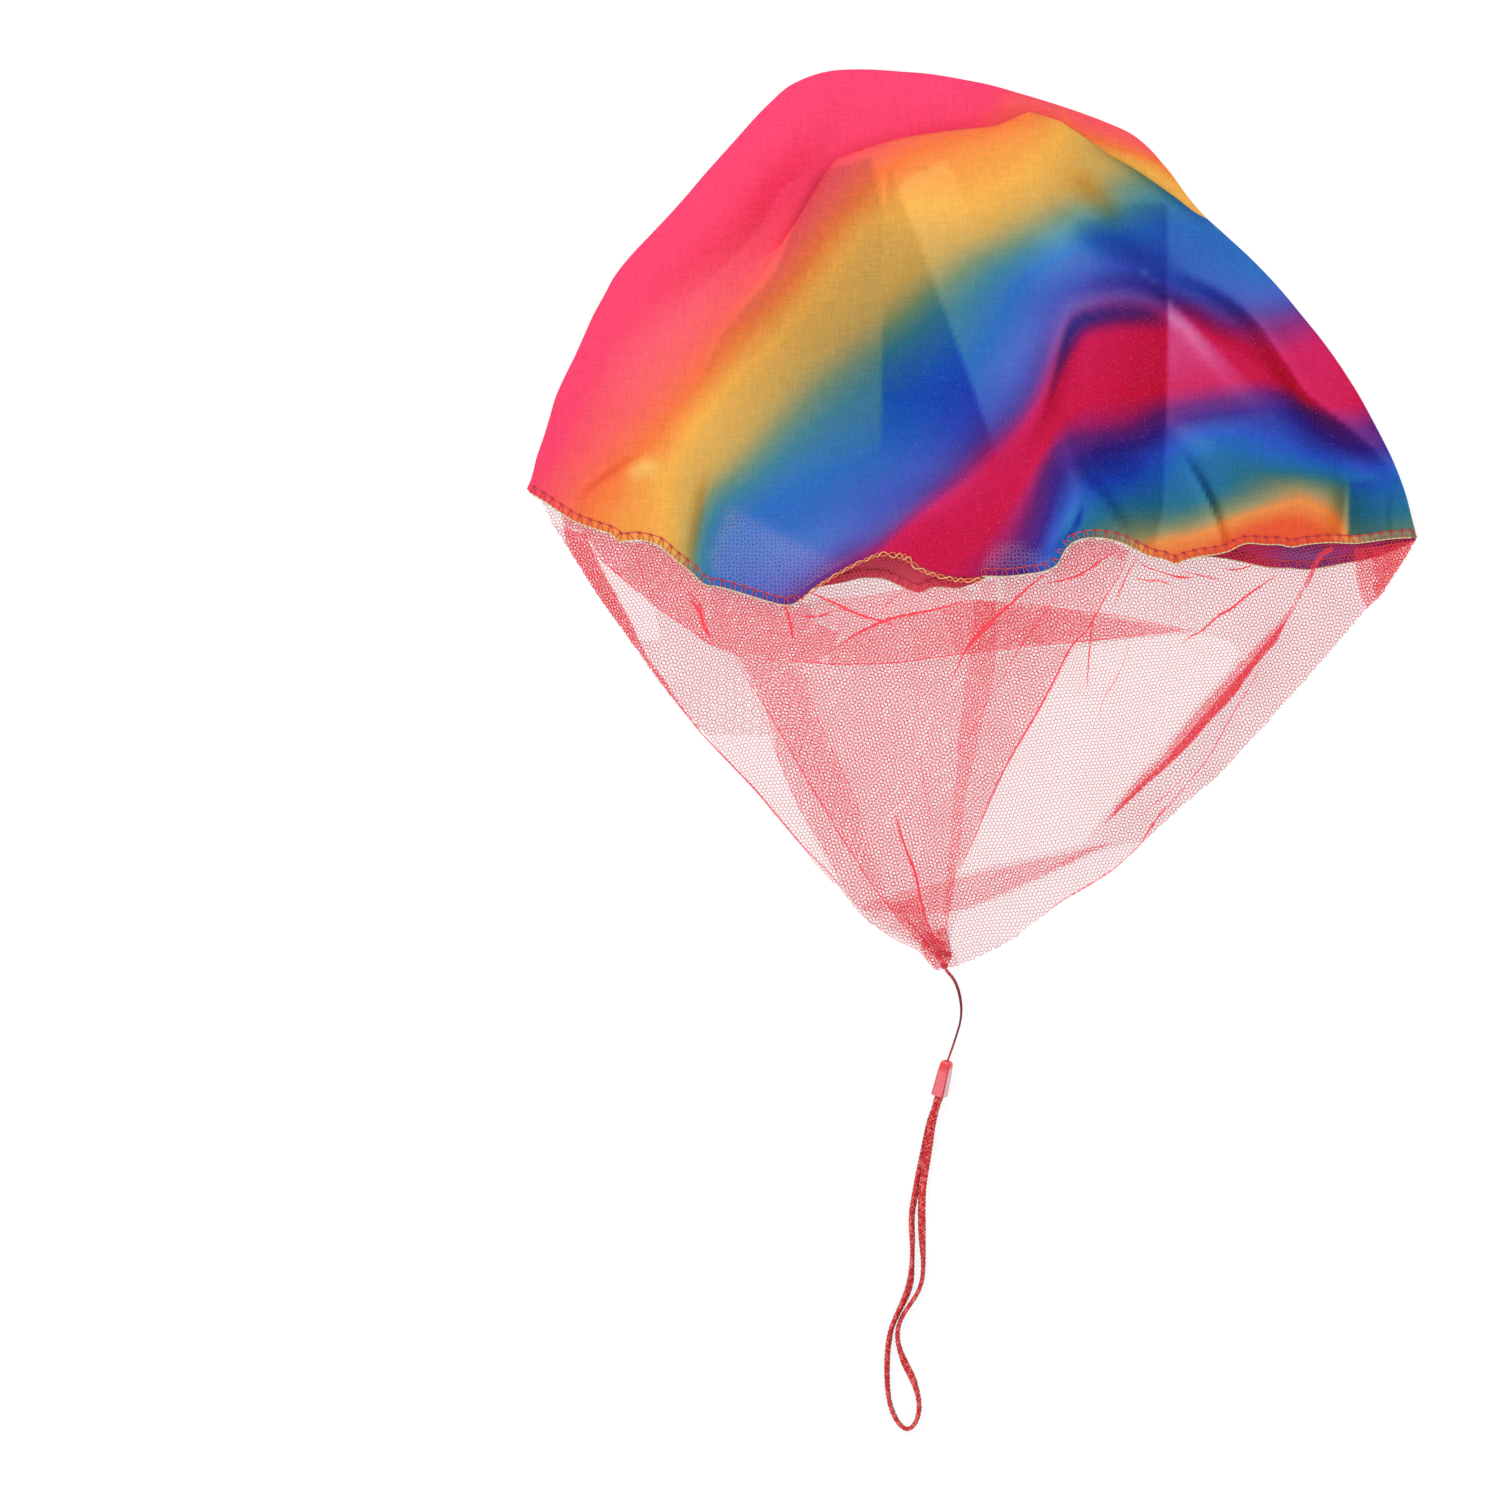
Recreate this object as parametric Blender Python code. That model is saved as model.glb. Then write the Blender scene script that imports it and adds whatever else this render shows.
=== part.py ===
"""Toy parachute: a cloth canopy, a net skirt, a doubled cord, a moulded ferrule and a braided strap loop.

Metres, +Z up. The toy lies flat on the plane Z = 0 with the top of the canopy towards +Y, and the origin
is the bottom centre of the canopy and net. The canopy and the skirt are one flattened bag: rings of
points run round its front and back, from the mouth up to the canopy's top and down to the gathered net.
"""

import math

import bmesh
import bpy
import numpy as np
from mathutils import Matrix, Vector

# The laid canopy and net
LAID_WIDTH = 0.31115
CANOPY_RISE = 0.16275
NET_DROP = 0.1491
CANOPY_PUFF = 0.024
NET_PUFF = 0.010
EDGE_GAP = 0.0026
FOLD_DEPTH = 0.018
CREASE_HEIGHT = 0.0045
CREASE_REACH = 0.011
CLOTH_THICKNESS = 0.0006
NET_THICKNESS = 0.0006
NET_STRAND = 0.0016
SEAM_WIDTH = 0.0034
SEAM_THICKNESS = 0.0012
CLEARANCE = 0.0004
NET_CLEARANCE = 0.0007

# The gathered end of the net
WAIST_WIDTH = 0.0042
WAIST_DEPTH = 0.0030
WAIST_LENGTH = 0.0034
WAIST_LIFT = 0.0010
FLARE_WIDTH = 0.0062
FLARE_LENGTH = 0.0010

# The cord, its hitch and its knots
CORD_DIAMETER = 0.00055
STRAND_SPACING = 0.00105
HITCH_PITCH = 0.00105
KNOT_DIAMETER = 0.0024
STOP_KNOT_DIAMETER = 0.0018

# The ferrule
FERRULE_LENGTH = 0.0130
FERRULE_WIDTH = 0.0044
FERRULE_DEPTH = 0.0039
FERRULE_TOP_WIDTH = 0.0034
FERRULE_TOP_DEPTH = 0.0032
FERRULE_ROUNDING = 0.0016
SOCKET_WIDTH = 0.0035
SOCKET_DEPTH = 0.0025
SOCKET_LENGTH = 0.0070
KNOT_CHAMBER_TOP = 0.0021
CORD_HOLE_DIAMETER = 0.0012
HOLE_CLEARANCE = 0.0003
FERRULE_ROLL = math.radians(25)
FERRULE_PITCH = math.radians(15)
FERRULE_HEADING = math.radians(12.6)
FERRULE_TOP = Vector((-0.00858, -0.19058, 0.00610))

# The strap
STRAP_WIDTH = 0.0029
STRAP_THICKNESS = 0.0008
STRAP_LAYER_SPACING = 0.0011
STRAP_REACH = 0.0055

# Shapes without a length
PUFF_FLATNESS = 1.3
FOLD_SHARPNESS = math.radians(40)
GROOVE_SHARE = 0.10
GROOVE_SPREAD = 0.22

# Counts
RING_COUNT = 40
NET_ROWS = 7
FERRULE_SIDES = 24
KNOT_SIDES = 16
HITCH_TURNS = 2
HITCH_STEPS = 24
CORD_STEPS = 24
CORD_BEND_STEPS = 8
STRAP_STEPS = 78

# Outlines, as shares of the laid width across from the middle, and of the canopy's rise above the mouth line
LEFT_EDGE_SHARES = (
    (-0.500, 0.103), (-0.480, 0.237), (-0.452, 0.387), (-0.418, 0.527), (-0.367, 0.639), (-0.305, 0.768),
    (-0.260, 0.871), (-0.215, 0.953),
)
TOP_EDGE_SHARES = (
    (-0.215, 0.953), (-0.176, 0.987), (-0.137, 1.000), (-0.080, 0.996), (-0.030, 0.987), (0.021, 0.966),
    (0.077, 0.929), (0.145, 0.886), (0.195, 0.847), (0.221, 0.796),
)
RIGHT_EDGE_SHARES = (
    (0.500, 0.000), (0.493, 0.065), (0.479, 0.140), (0.454, 0.226), (0.415, 0.344), (0.370, 0.462),
    (0.313, 0.581), (0.248, 0.727), (0.221, 0.796),
)
FRONT_HEM_SHARES = (
    (-0.500, 0.103), (-0.463, 0.065), (-0.418, 0.022), (-0.379, -0.011), (-0.339, -0.028), (-0.305, -0.103),
    (-0.249, -0.129), (-0.199, -0.146), (-0.159, -0.097), (-0.103, -0.047), (-0.058, -0.071), (-0.013, -0.090),
    (0.032, -0.086), (0.083, -0.071), (0.116, -0.011), (0.145, 0.006), (0.173, -0.011), (0.223, -0.054),
    (0.257, -0.039), (0.313, -0.022), (0.370, -0.017), (0.426, -0.011), (0.500, 0.000),
)
BACK_HEM_SHARES = (
    (-0.500, 0.103), (-0.418, 0.020), (-0.305, -0.095), (-0.199, -0.125), (-0.125, -0.090), (-0.058, -0.105),
    (-0.013, -0.120), (0.083, -0.100), (0.173, -0.070), (0.250, -0.045), (0.313, -0.060), (0.352, -0.067),
    (0.384, -0.073), (0.440, -0.045), (0.500, 0.000),
)
FOLD_LINE_SHARES = (
    (-0.400, 0.400), (-0.305, 0.531), (-0.244, 0.649), (-0.217, 0.740), (-0.174, 0.791), (-0.088, 0.849),
    (-0.030, 0.860), (0.028, 0.871), (0.059, 0.890), (0.082, 0.893), (0.145, 0.828), (0.246, 0.699),
    (0.340, 0.520),
)
CREASE_LINE_SHARES = (
    (0.050, 0.150), (0.055, 0.240), (0.075, 0.330), (0.133, 0.452), (0.178, 0.505), (0.229, 0.484),
    (0.296, 0.357), (0.338, 0.318), (0.409, 0.211), (0.477, 0.129),
)

# Net outline below the mouth, as shares of the laid width across and of the net's drop below the mouth line
NET_LEFT_SHARES = (
    (-0.418, 0.127), (-0.350, 0.312), (-0.305, 0.427), (-0.238, 0.589), (-0.193, 0.704), (-0.142, 0.808),
    (-0.112, 0.868), (-0.070, 0.930),
)
NET_RIGHT_SHARES = (
    (0.471, 0.150), (0.426, 0.289), (0.403, 0.335), (0.313, 0.520), (0.201, 0.739), (0.146, 0.820),
    (0.078, 0.878), (0.022, 0.935),
)
GATHER_ACROSS_SHARE = -0.031
GATHER_SHARES = (0.88, 1.00)
NET_START_SHARE = 0.045
NET_END_SHARE = 0.80
NET_ZIGZAG_SHARE = 0.16
STRAND_LIMIT_SHARE = 0.25
NECK_ROW_SHARES = (0.90, 0.96, 1.00)
WAIST_START_SHARE = 0.15
TIP_CROWDING_SHARE = 0.35

# The way up the front of the canopy: share of the way to the fold line, share of the fold's depth doubled
# back, share of the way on to the top edge, and height as a share of the puff
FOLD_ROW_SHARES = (
    (0.00, 0.00, 0.00, 0.45), (0.13, 0.00, 0.00, 0.62), (0.28, 0.00, 0.00, 0.80), (0.44, 0.00, 0.00, 0.93),
    (0.60, 0.00, 0.00, 0.98), (0.76, 0.00, 0.00, 0.88), (0.90, 0.00, 0.00, 0.70), (0.98, 0.00, 0.00, 0.54),
    (1.00, 0.00, 0.00, 0.42), (1.00, 0.35, 0.00, 0.31), (1.00, 1.00, 0.00, 0.24), (1.00, 0.90, 0.00, 0.13),
    (1.00, 0.00, 0.15, 0.16), (1.00, 0.00, 0.60, 0.14), (1.00, 0.00, 1.00, 0.00),
)
PLAIN_HEIGHT_SHARES = ((0.00, 0.45), (0.30, 0.85), (0.55, 0.95), (0.80, 0.60), (0.93, 0.25), (1.00, 0.00))
FOLD_START_SHARES = (0.12, 0.24)
FOLD_END_SHARES = (0.78, 0.90)
FOLD_LIMIT_SHARE = 0.955

# Ferrule outline: share of the rounded top's length, share of the top's width
FERRULE_DOME_SHARES = ((0.00, 0.50), (0.12, 0.72), (0.40, 0.92), (1.00, 1.00))

# How square the ferrule's sections are: 2 is an oval
OVAL = 2
DOME_SQUARENESS = 3
BODY_SQUARENESS = 5

# The middle line of the doubled cord, from the knot to the ferrule
CORD_ROUTE = (
    (-0.00844, -0.15964, 0.00270), (-0.00630, -0.16226, 0.00210), (-0.00473, -0.16583, 0.00140),
    (-0.00385, -0.16986, 0.00110), (-0.00361, -0.17343, 0.00130), (-0.00406, -0.17742, 0.00210),
    (-0.00539, -0.18190, 0.00340), (-0.00676, -0.18592, 0.00480), (-0.00828, -0.19003, 0.00600),
)

# The strap's thickness at its edges, as a share of its thickness
STRAP_EDGE_SHARE = 0.4

# Where along the doubled cord its strands turn from side by side to one over the other
CORD_TWIST_SHARES = (0.15, 0.85)

# The strap's middle line outside the ferrule and its tilt in degrees, down the left run and up the right one
STRAP_ROUTE = (
    (-0.01330, -0.20720, 0.00170, 15), (-0.01575, -0.21500, 0.00090, 5), (-0.01820, -0.22700, 0.00080, 5),
    (-0.01985, -0.23800, 0.00090, 12), (-0.02090, -0.24900, 0.00120, 30), (-0.02080, -0.25930, 0.00145, 45),
    (-0.02210, -0.26900, 0.00150, 50), (-0.02590, -0.27900, 0.00155, 55), (-0.02850, -0.28830, 0.00160, 60),
    (-0.02950, -0.29800, 0.00160, 60), (-0.02890, -0.30900, 0.00165, 65), (-0.02700, -0.31500, 0.00165, 75),
    (-0.02460, -0.31830, 0.00165, 80), (-0.02230, -0.31930, 0.00165, 85), (-0.01985, -0.31700, 0.00165, 95),
    (-0.01850, -0.31200, 0.00165, 100), (-0.01870, -0.30700, 0.00160, 118), (-0.01990, -0.30200, 0.00130, 145),
    (-0.02170, -0.29830, 0.00110, 160), (-0.02400, -0.29300, 0.00130, 145), (-0.02580, -0.28700, 0.00155, 115),
    (-0.02620, -0.28200, 0.00165, 100), (-0.02500, -0.27600, 0.00165, 100), (-0.02180, -0.27120, 0.00165, 105),
    (-0.01850, -0.26600, 0.00160, 120), (-0.01660, -0.25900, 0.00145, 140), (-0.01680, -0.24900, 0.00150, 160),
    (-0.01740, -0.23700, 0.00190, 172), (-0.01610, -0.22600, 0.00220, 175), (-0.01400, -0.21450, 0.00250, 170),
    (-0.01230, -0.20700, 0.00280, 165),
)

MOUTH_Y = (NET_DROP - CANOPY_RISE) / 2
GATHER_X = GATHER_ACROSS_SHARE * LAID_WIDTH
NET_END_Y = MOUTH_Y - NET_DROP
NECK_END_Y = NET_END_Y + FLARE_LENGTH + WAIST_LENGTH
WAIST_AXIS_Z = WAIST_LIFT + NET_THICKNESS / 2 + WAIST_DEPTH / 2
KNOT_CENTRE = Vector((GATHER_X, NET_END_Y - CLEARANCE - KNOT_DIAMETER / 2, WAIST_AXIS_Z))


def clear_scene():
    for item in list(bpy.data.objects):
        bpy.data.objects.remove(item, do_unlink=True)


def make_material(name, colour, roughness):
    material = bpy.data.materials.new(name)
    material.use_nodes = True
    shader = material.node_tree.nodes["Principled BSDF"]
    shader.inputs["Base Color"].default_value = (*colour, 1)
    shader.inputs["Roughness"].default_value = roughness
    shader.inputs["Metallic"].default_value = 0
    material.diffuse_color = (*colour, 1)
    return material


def add_object(name, data, material):
    item = bpy.data.objects.new(name, data)
    item.data.materials.append(material)
    bpy.context.scene.collection.objects.link(item)
    return item


def add_pivot(name, place):
    """An empty on a joint's axis, which carries the pieces that the joint moves."""
    pivot = bpy.data.objects.new(name, None)
    pivot.location = place
    bpy.context.scene.collection.objects.link(pivot)
    return pivot


def attach(item, pivot):
    item.parent = pivot
    item.matrix_parent_inverse = Matrix.Translation(pivot.location).inverted()


def mesh_from(name, points, faces):
    mesh = bpy.data.meshes.new(name)
    mesh.from_pydata([tuple(map(float, point)) for point in points], [], faces)
    shell = bmesh.new()
    shell.from_mesh(mesh)
    bmesh.ops.recalc_face_normals(shell, faces=shell.faces)
    shell.to_mesh(mesh)
    shell.free()
    mesh.shade_smooth()
    mesh.set_sharp_from_angle(angle=FOLD_SHARPNESS)
    return mesh


def thicken(item, thickness):
    solidify = item.modifiers.new("Thickness", "SOLIDIFY")
    solidify.thickness = thickness
    solidify.offset = 0


def smooth_line(points, steps=24):
    """A Catmull-Rom curve through the points, as evenly spaced points."""
    points = np.asarray(points, float)
    padded = np.vstack([2 * points[0] - points[1], points, 2 * points[-1] - points[-2]])
    t = np.linspace(0, 1, steps, endpoint=False)[:, None]
    runs = []
    for a, b, c, d in zip(padded, padded[1:], padded[2:], padded[3:]):
        square = 2 * a - 5 * b + 4 * c - d
        cube = 3 * b - a - 3 * c + d
        runs.append((2 * b + (c - a) * t + square * t**2 + cube * t**3) / 2)
    dense = np.vstack([*runs, points[-1:]])
    length = np.concatenate([[0], np.cumsum(np.linalg.norm(np.diff(dense[:, :3], axis=0), axis=1))])
    even = np.linspace(0, length[-1], len(dense))
    return np.column_stack([np.interp(even, length, dense[:, k]) for k in range(points.shape[1])])


def along(line, share):
    """The point at a share of a line of evenly spaced points."""
    places = np.linspace(0, 1, len(line))
    return np.stack([np.interp(share, places, line[:, k]) for k in range(line.shape[1])], axis=-1)


def ease(low, high, value):
    t = np.clip((value - low) / (high - low), 0, 1)
    return t * t * (3 - 2 * t)


def canopy_plan(shares):
    return np.asarray(shares) * (LAID_WIDTH, CANOPY_RISE) + (0, MOUTH_Y)


def net_plan(shares):
    return np.asarray(shares) * (LAID_WIDTH, -NET_DROP) + (0, MOUTH_Y)


FRONT_HEM = smooth_line(canopy_plan(FRONT_HEM_SHARES))
BACK_HEM = smooth_line(canopy_plan(BACK_HEM_SHARES))
LEFT_EDGE = smooth_line(canopy_plan(LEFT_EDGE_SHARES))
TOP_EDGE = smooth_line(canopy_plan(TOP_EDGE_SHARES))
RIGHT_EDGE = smooth_line(canopy_plan(RIGHT_EDGE_SHARES))
FOLD_LINE = smooth_line(canopy_plan(FOLD_LINE_SHARES))
CREASE_LINE = smooth_line(canopy_plan(CREASE_LINE_SHARES))


def hem_point(line, u):
    """The plan place of a hem at u, which runs from 0 at the left tip to 1 at the right one."""
    x = (u - 0.5) * LAID_WIDTH
    return np.stack([x, np.interp(x, line[:, 0], line[:, 1])], axis=-1)


def between_edges(low, high, left, right, u, v):
    """A point of the patch inside four edges: low and high at u, left and right at v."""
    u = np.asarray(u)[..., None]
    v = np.asarray(v)[..., None]
    corners = (1 - u) * (1 - v) * left[0] + u * (1 - v) * right[0] + (1 - u) * v * left[1] + u * v * right[1]
    sides = (1 - u) * left[2] + u * right[2]
    return (1 - v) * low + v * high + sides - corners


def canopy_place(line, u, v):
    """The plan place of the canopy's front or back, at u across and v from the hem to the top edge."""
    left = (LEFT_EDGE[0], LEFT_EDGE[-1], along(LEFT_EDGE, v))
    right = (RIGHT_EDGE[0], RIGHT_EDGE[-1], along(RIGHT_EDGE, v))
    return between_edges(hem_point(line, u), along(TOP_EDGE, u), left, right, u, v)


def fold_height(u):
    """The v at which the canopy's front meets the fold line."""
    rise = np.linspace(0, 1, 201)
    found = []
    for across in np.atleast_1d(u):
        places = canopy_place(FRONT_HEM, np.full_like(rise, across), rise)
        under = places[:, 1] < np.interp(places[:, 0], FOLD_LINE[:, 0], FOLD_LINE[:, 1])
        found.append(rise[np.argmin(under)] if not under.all() else 1)
    return np.minimum(found, FOLD_LIMIT_SHARE)


def puff(u):
    return CANOPY_PUFF * np.sin(math.pi * u) ** PUFF_FLATNESS


def crease(place):
    """The height that the long crease adds at a plan place: a soft ridge along its line."""
    apart = np.linalg.norm(place[:, None] - CREASE_LINE[None], axis=2).min(axis=1)
    return CREASE_HEIGHT * np.exp(-((apart / CREASE_REACH) ** 2))


def front_place(u, share):
    """A point of the canopy's front, at u across and a share of the cloth's way from hem to top edge."""
    rows = np.linspace(0, 1, len(FOLD_ROW_SHARES))
    to_fold, back, onward, high = (np.interp(share, rows, column) for column in zip(*FOLD_ROW_SHARES))
    fold = fold_height(u)
    folded = ease(*FOLD_START_SHARES, u) * (1 - ease(*FOLD_END_SHARES, u))
    doubled = to_fold * fold - back * FOLD_DEPTH / CANOPY_RISE + onward * (1 - fold)
    v = folded * doubled + (1 - folded) * share
    plain = np.interp(v, *zip(*PLAIN_HEIGHT_SHARES))
    place = canopy_place(FRONT_HEM, u, v)
    height = EDGE_GAP + puff(u) * (folded * high + (1 - folded) * plain) + crease(place) * np.sin(math.pi * u)
    return np.column_stack([place, height])


def back_place(u, share):
    place = canopy_place(BACK_HEM, u, share)
    return np.column_stack([place, np.zeros(len(place))])


def ring_shares():
    """u for half a ring, from the left tip to the right one, closer together towards the tips."""
    way = np.linspace(0, 1, RING_COUNT // 2)
    return way - TIP_CROWDING_SHARE * np.sin(2 * math.pi * way) / (2 * math.pi)


def canopy_ring(share):
    """A ring of the canopy: along the front from the left tip to the right one, and back along the back."""
    u = ring_shares()
    shares = np.full_like(u, share)
    return np.vstack([front_place(u, shares), back_place(u[::-1], shares)])


def rows_to_faces(rows):
    """Quads between rings of equal count, each ring closed."""
    count = len(rows[0])
    faces = []
    for row in range(len(rows) - 1):
        for i in range(count):
            j = (i + 1) % count
            faces.append((row * count + i, row * count + j, (row + 1) * count + j, (row + 1) * count + i))
    return faces


def build_canopy():
    """The bag's upper part: rings from the hem up, closed along the top edge, where front and back meet."""
    rows = [canopy_ring(share) for share in np.linspace(0, 1, len(FOLD_ROW_SHARES))]
    faces = rows_to_faces(rows)
    last = (len(rows) - 1) * RING_COUNT
    for i in range(RING_COUNT // 2 - 1):
        faces.append((last + i, last + i + 1, last + RING_COUNT - i - 2, last + RING_COUNT - i - 1))
    points = np.vstack(rows) + (0, 0, CLOTH_THICKNESS / 2)
    cloth = make_material("dyed_cloth", (0.50, 0.07, 0.20), 0.55)
    canopy = add_object("canopy", mesh_from("canopy", points, faces), cloth)
    thicken(canopy, CLOTH_THICKNESS)


def build_hem_seam():
    """The overlocked band round the mouth, in line with the canopy's hem and just below it."""
    hem = canopy_ring(0.0) + (0, 0, SEAM_THICKNESS / 2)
    rows = [hem - (0, CLEARANCE, 0), hem - (0, CLEARANCE + SEAM_WIDTH, 0)]
    thread = make_material("seam_thread", (0.60, 0.12, 0.10), 0.7)
    seam = add_object("hem_seam", mesh_from("hem_seam", np.vstack(rows), rows_to_faces(rows)), thread)
    thicken(seam, SEAM_THICKNESS)


def waist_angles():
    """The ring's points as angles round the gathered net, in the order of the canopy's rings."""
    return math.pi - (np.arange(RING_COUNT) + 0.5) * 2 * math.pi / RING_COUNT


def waist_ring(y, width):
    """An oval ring of the gathered net."""
    angle = waist_angles()
    x = GATHER_X + width / 2 * np.cos(angle)
    return np.column_stack([x, np.full(RING_COUNT, y), WAIST_AXIS_Z + WAIST_DEPTH / 2 * np.sin(angle)])


def net_ring(share):
    """A ring of the skirt, at a share of the way from the seam to the neck, or at a share for each point."""
    half = RING_COUNT // 2
    share = np.broadcast_to(share, RING_COUNT)
    neck = waist_ring(NECK_END_Y, FLARE_WIDTH)
    drop = np.array([0, -CLEARANCE - SEAM_WIDTH - NET_CLEARANCE])
    u = ring_shares()
    rings = []
    for line, across, w, end in (
        (FRONT_HEM, u, share[:half], neck[:half, :2]),
        (BACK_HEM, u[::-1], share[half:], neck[half:, :2]),
    ):
        left = smooth_line([hem_point(line, 0.0) + drop, *net_plan(NET_LEFT_SHARES), neck[0, :2]])
        right = smooth_line([hem_point(line, 1.0) + drop, *net_plan(NET_RIGHT_SHARES), neck[half - 1, :2]])
        sides = ((left[0], left[-1], along(left, w)), (right[0], right[-1], along(right, w)))
        rings.append(between_edges(hem_point(line, across) + drop, end, *sides, across, w))
    loose = EDGE_GAP + puff(u) * FOLD_ROW_SHARES[0][3] * (1 - share[:half])
    loose = loose + NET_PUFF * np.sin(math.pi * u) * np.sin(math.pi * share[:half])
    gathered = ease(*GATHER_SHARES, share)
    loose = np.concatenate([loose, np.zeros(half)]) + NET_THICKNESS / 2
    height = (1 - gathered) * loose + gathered * neck[:, 2]
    return np.column_stack([np.vstack(rings), height])


def net_level(level, levels):
    """The zigzag of net corners between two rows of gaps."""
    step = NET_END_SHARE / levels
    swing = NET_ZIGZAG_SHARE * step
    column = np.arange(RING_COUNT)
    up = (column - level % 2 - 1) % 2 == 0
    first = NET_START_SHARE
    return net_ring(np.where(up, first + level * step - swing, first + level * step + swing))


def build_net_skirt():
    """The net tube: rows of six-sided gaps between two plain rims, drawn in to a waist and a small flare."""
    levels = [net_level(level, NET_ROWS) for level in range(NET_ROWS + 1)]
    plain = [net_ring(share) for share in NECK_ROW_SHARES]
    plain += [waist_ring(NECK_END_Y - WAIST_START_SHARE * WAIST_LENGTH, WAIST_WIDTH)]
    plain += [waist_ring(NET_END_Y + FLARE_LENGTH, WAIST_WIDTH), waist_ring(NET_END_Y, FLARE_WIDTH)]
    rows = [net_ring(0.0), *levels, *plain]
    points = [point for row in rows for point in row]
    bands = rows_to_faces(rows)
    faces = bands[:RING_COUNT] + bands[(NET_ROWS + 1) * RING_COUNT :]
    for row in range(NET_ROWS):
        for gap in range(RING_COUNT // 2):
            middle = 2 * gap + row % 2 + 1
            columns = (middle, middle + 1, middle + 1, middle, middle - 1, middle - 1)
            depths = (1, 1, 2, 2, 2, 1)
            corners = [(row + d) * RING_COUNT + c % RING_COUNT for d, c in zip(depths, columns)]
            faces += strands_round(points, corners)
    red_net = make_material("red_net", (0.86, 0.08, 0.11), 0.6)
    skirt = add_object("net_skirt", mesh_from("net_skirt", points, faces), red_net)
    thicken(skirt, NET_THICKNESS)


def strands_round(points, corners):
    """Half strands round one gap. It adds the gap's own corners to the points."""
    outer = np.array([points[corner] for corner in corners])
    middle = outer.mean(axis=0)
    reach = np.linalg.norm(outer - middle, axis=1).min()
    inset = min(NET_STRAND / 2 / reach, STRAND_LIMIT_SHARE)
    first = len(points)
    points.extend(outer + (middle - outer) * inset)
    count = len(corners)
    faces = []
    for i in range(count):
        j = (i + 1) % count
        faces.append((corners[i], corners[j], first + j, first + i))
    return faces


def tube(name, points, diameter, bevel_resolution, material):
    """A closed round tube along the points."""
    curve = bpy.data.curves.new(name, "CURVE")
    curve.dimensions = "3D"
    curve.bevel_depth = diameter / 2
    curve.bevel_resolution = bevel_resolution
    curve.use_fill_caps = True
    spline = curve.splines.new("POLY")
    spline.points.add(len(points) - 1)
    for place, point in zip(spline.points, points):
        place.co = (*map(float, point), 1)
    return add_object(name, curve, material)


def least_own_gap(points, diameter, skip):
    """The least clear distance between parts of a tube that lie more than skip points apart."""
    points = np.asarray(points)
    gaps = np.linalg.norm(points[:, None] - points[None], axis=2)
    apart = np.abs(np.subtract.outer(np.arange(len(points)), np.arange(len(points)))) > skip
    return gaps[apart].min() - diameter


def build_cord_hitch(cord_material):
    """The turns of cord that draw the net together, wound on its waist."""
    turn = np.arange(HITCH_TURNS * HITCH_STEPS + 1) / HITCH_STEPS
    angle = 2 * math.pi * turn + math.pi / 2
    reach = NET_THICKNESS / 2 + CLEARANCE + CORD_DIAMETER / 2
    x = GATHER_X + (WAIST_WIDTH / 2 + reach) * np.cos(angle)
    z = WAIST_AXIS_Z + (WAIST_DEPTH / 2 + reach) * np.sin(angle)
    y = NET_END_Y + FLARE_LENGTH + WAIST_LENGTH / 2 - HITCH_PITCH * (turn - HITCH_TURNS / 2)
    points = np.column_stack([x, y, z])
    tube("cord_hitch", points, CORD_DIAMETER, 1, cord_material)
    gap = least_own_gap(points, CORD_DIAMETER, HITCH_STEPS // 2)
    print(f"cord_hitch: least gap to itself {gap * 1000:.2f} mm")


def build_cord_knot(cord_material, pivot):
    """The knot under the gathered net: a drawn-tight round knot with a shallow groove where the turns meet."""
    rows = []
    for level in range(1, KNOT_SIDES // 2):
        angle = math.pi * level / (KNOT_SIDES // 2)
        groove = 1 - GROOVE_SHARE * math.exp(-(((angle - math.pi / 2) / GROOVE_SPREAD) ** 2))
        radius = KNOT_DIAMETER / 2 * math.sin(angle) * groove
        turn = 2 * math.pi * np.arange(KNOT_SIDES) / KNOT_SIDES
        flat = np.full(KNOT_SIDES, KNOT_DIAMETER / 2 * math.cos(angle))
        rows.append(np.column_stack([radius * np.cos(turn), flat, radius * np.sin(turn)]) + KNOT_CENTRE)
    points = np.vstack([*rows, [KNOT_CENTRE + Vector((0, KNOT_DIAMETER / 2, 0))],
                        [KNOT_CENTRE - Vector((0, KNOT_DIAMETER / 2, 0))]])
    faces = rows_to_faces(rows) + fan(0, len(points) - 2) + fan((len(rows) - 1) * KNOT_SIDES, len(points) - 1)
    attach(add_object("cord_knot", mesh_from("cord_knot", points, faces), cord_material), pivot)


def fan(first, tip):
    return [(first + i, first + (i + 1) % KNOT_SIDES, tip) for i in range(KNOT_SIDES)]


def build_tie_cord(cord_material, pivot):
    """The doubled cord: one strand up to the knot, a turn there and the other strand back to the ferrule.

    The pair lies side by side at the knot and one over the other at the ferrule.
    """
    middle = smooth_line(CORD_ROUTE)
    share = np.linspace(0, 1, CORD_STEPS)
    centre = along(middle, share)
    way = np.gradient(centre, axis=0)
    way /= np.linalg.norm(way, axis=1)[:, None]
    level = np.cross(way, (0, 0, 1))
    level /= np.linalg.norm(level, axis=1)[:, None]
    upright = np.cross(level, way)
    twist = (math.pi / 2 * ease(*CORD_TWIST_SHARES, share))[:, None]
    offset = (level * np.cos(twist) + upright * np.sin(twist)) * STRAND_SPACING / 2
    turn = np.linspace(0, math.pi, CORD_BEND_STEPS)[1:-1, None]
    bend = centre[0] + offset[0] * np.cos(turn) - way[0] * STRAND_SPACING / 2 * np.sin(turn)
    points = np.vstack([(centre + offset)[::-1], bend, centre - offset])
    attach(tube("tie_cord", points, CORD_DIAMETER, 2, cord_material), pivot)


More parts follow.
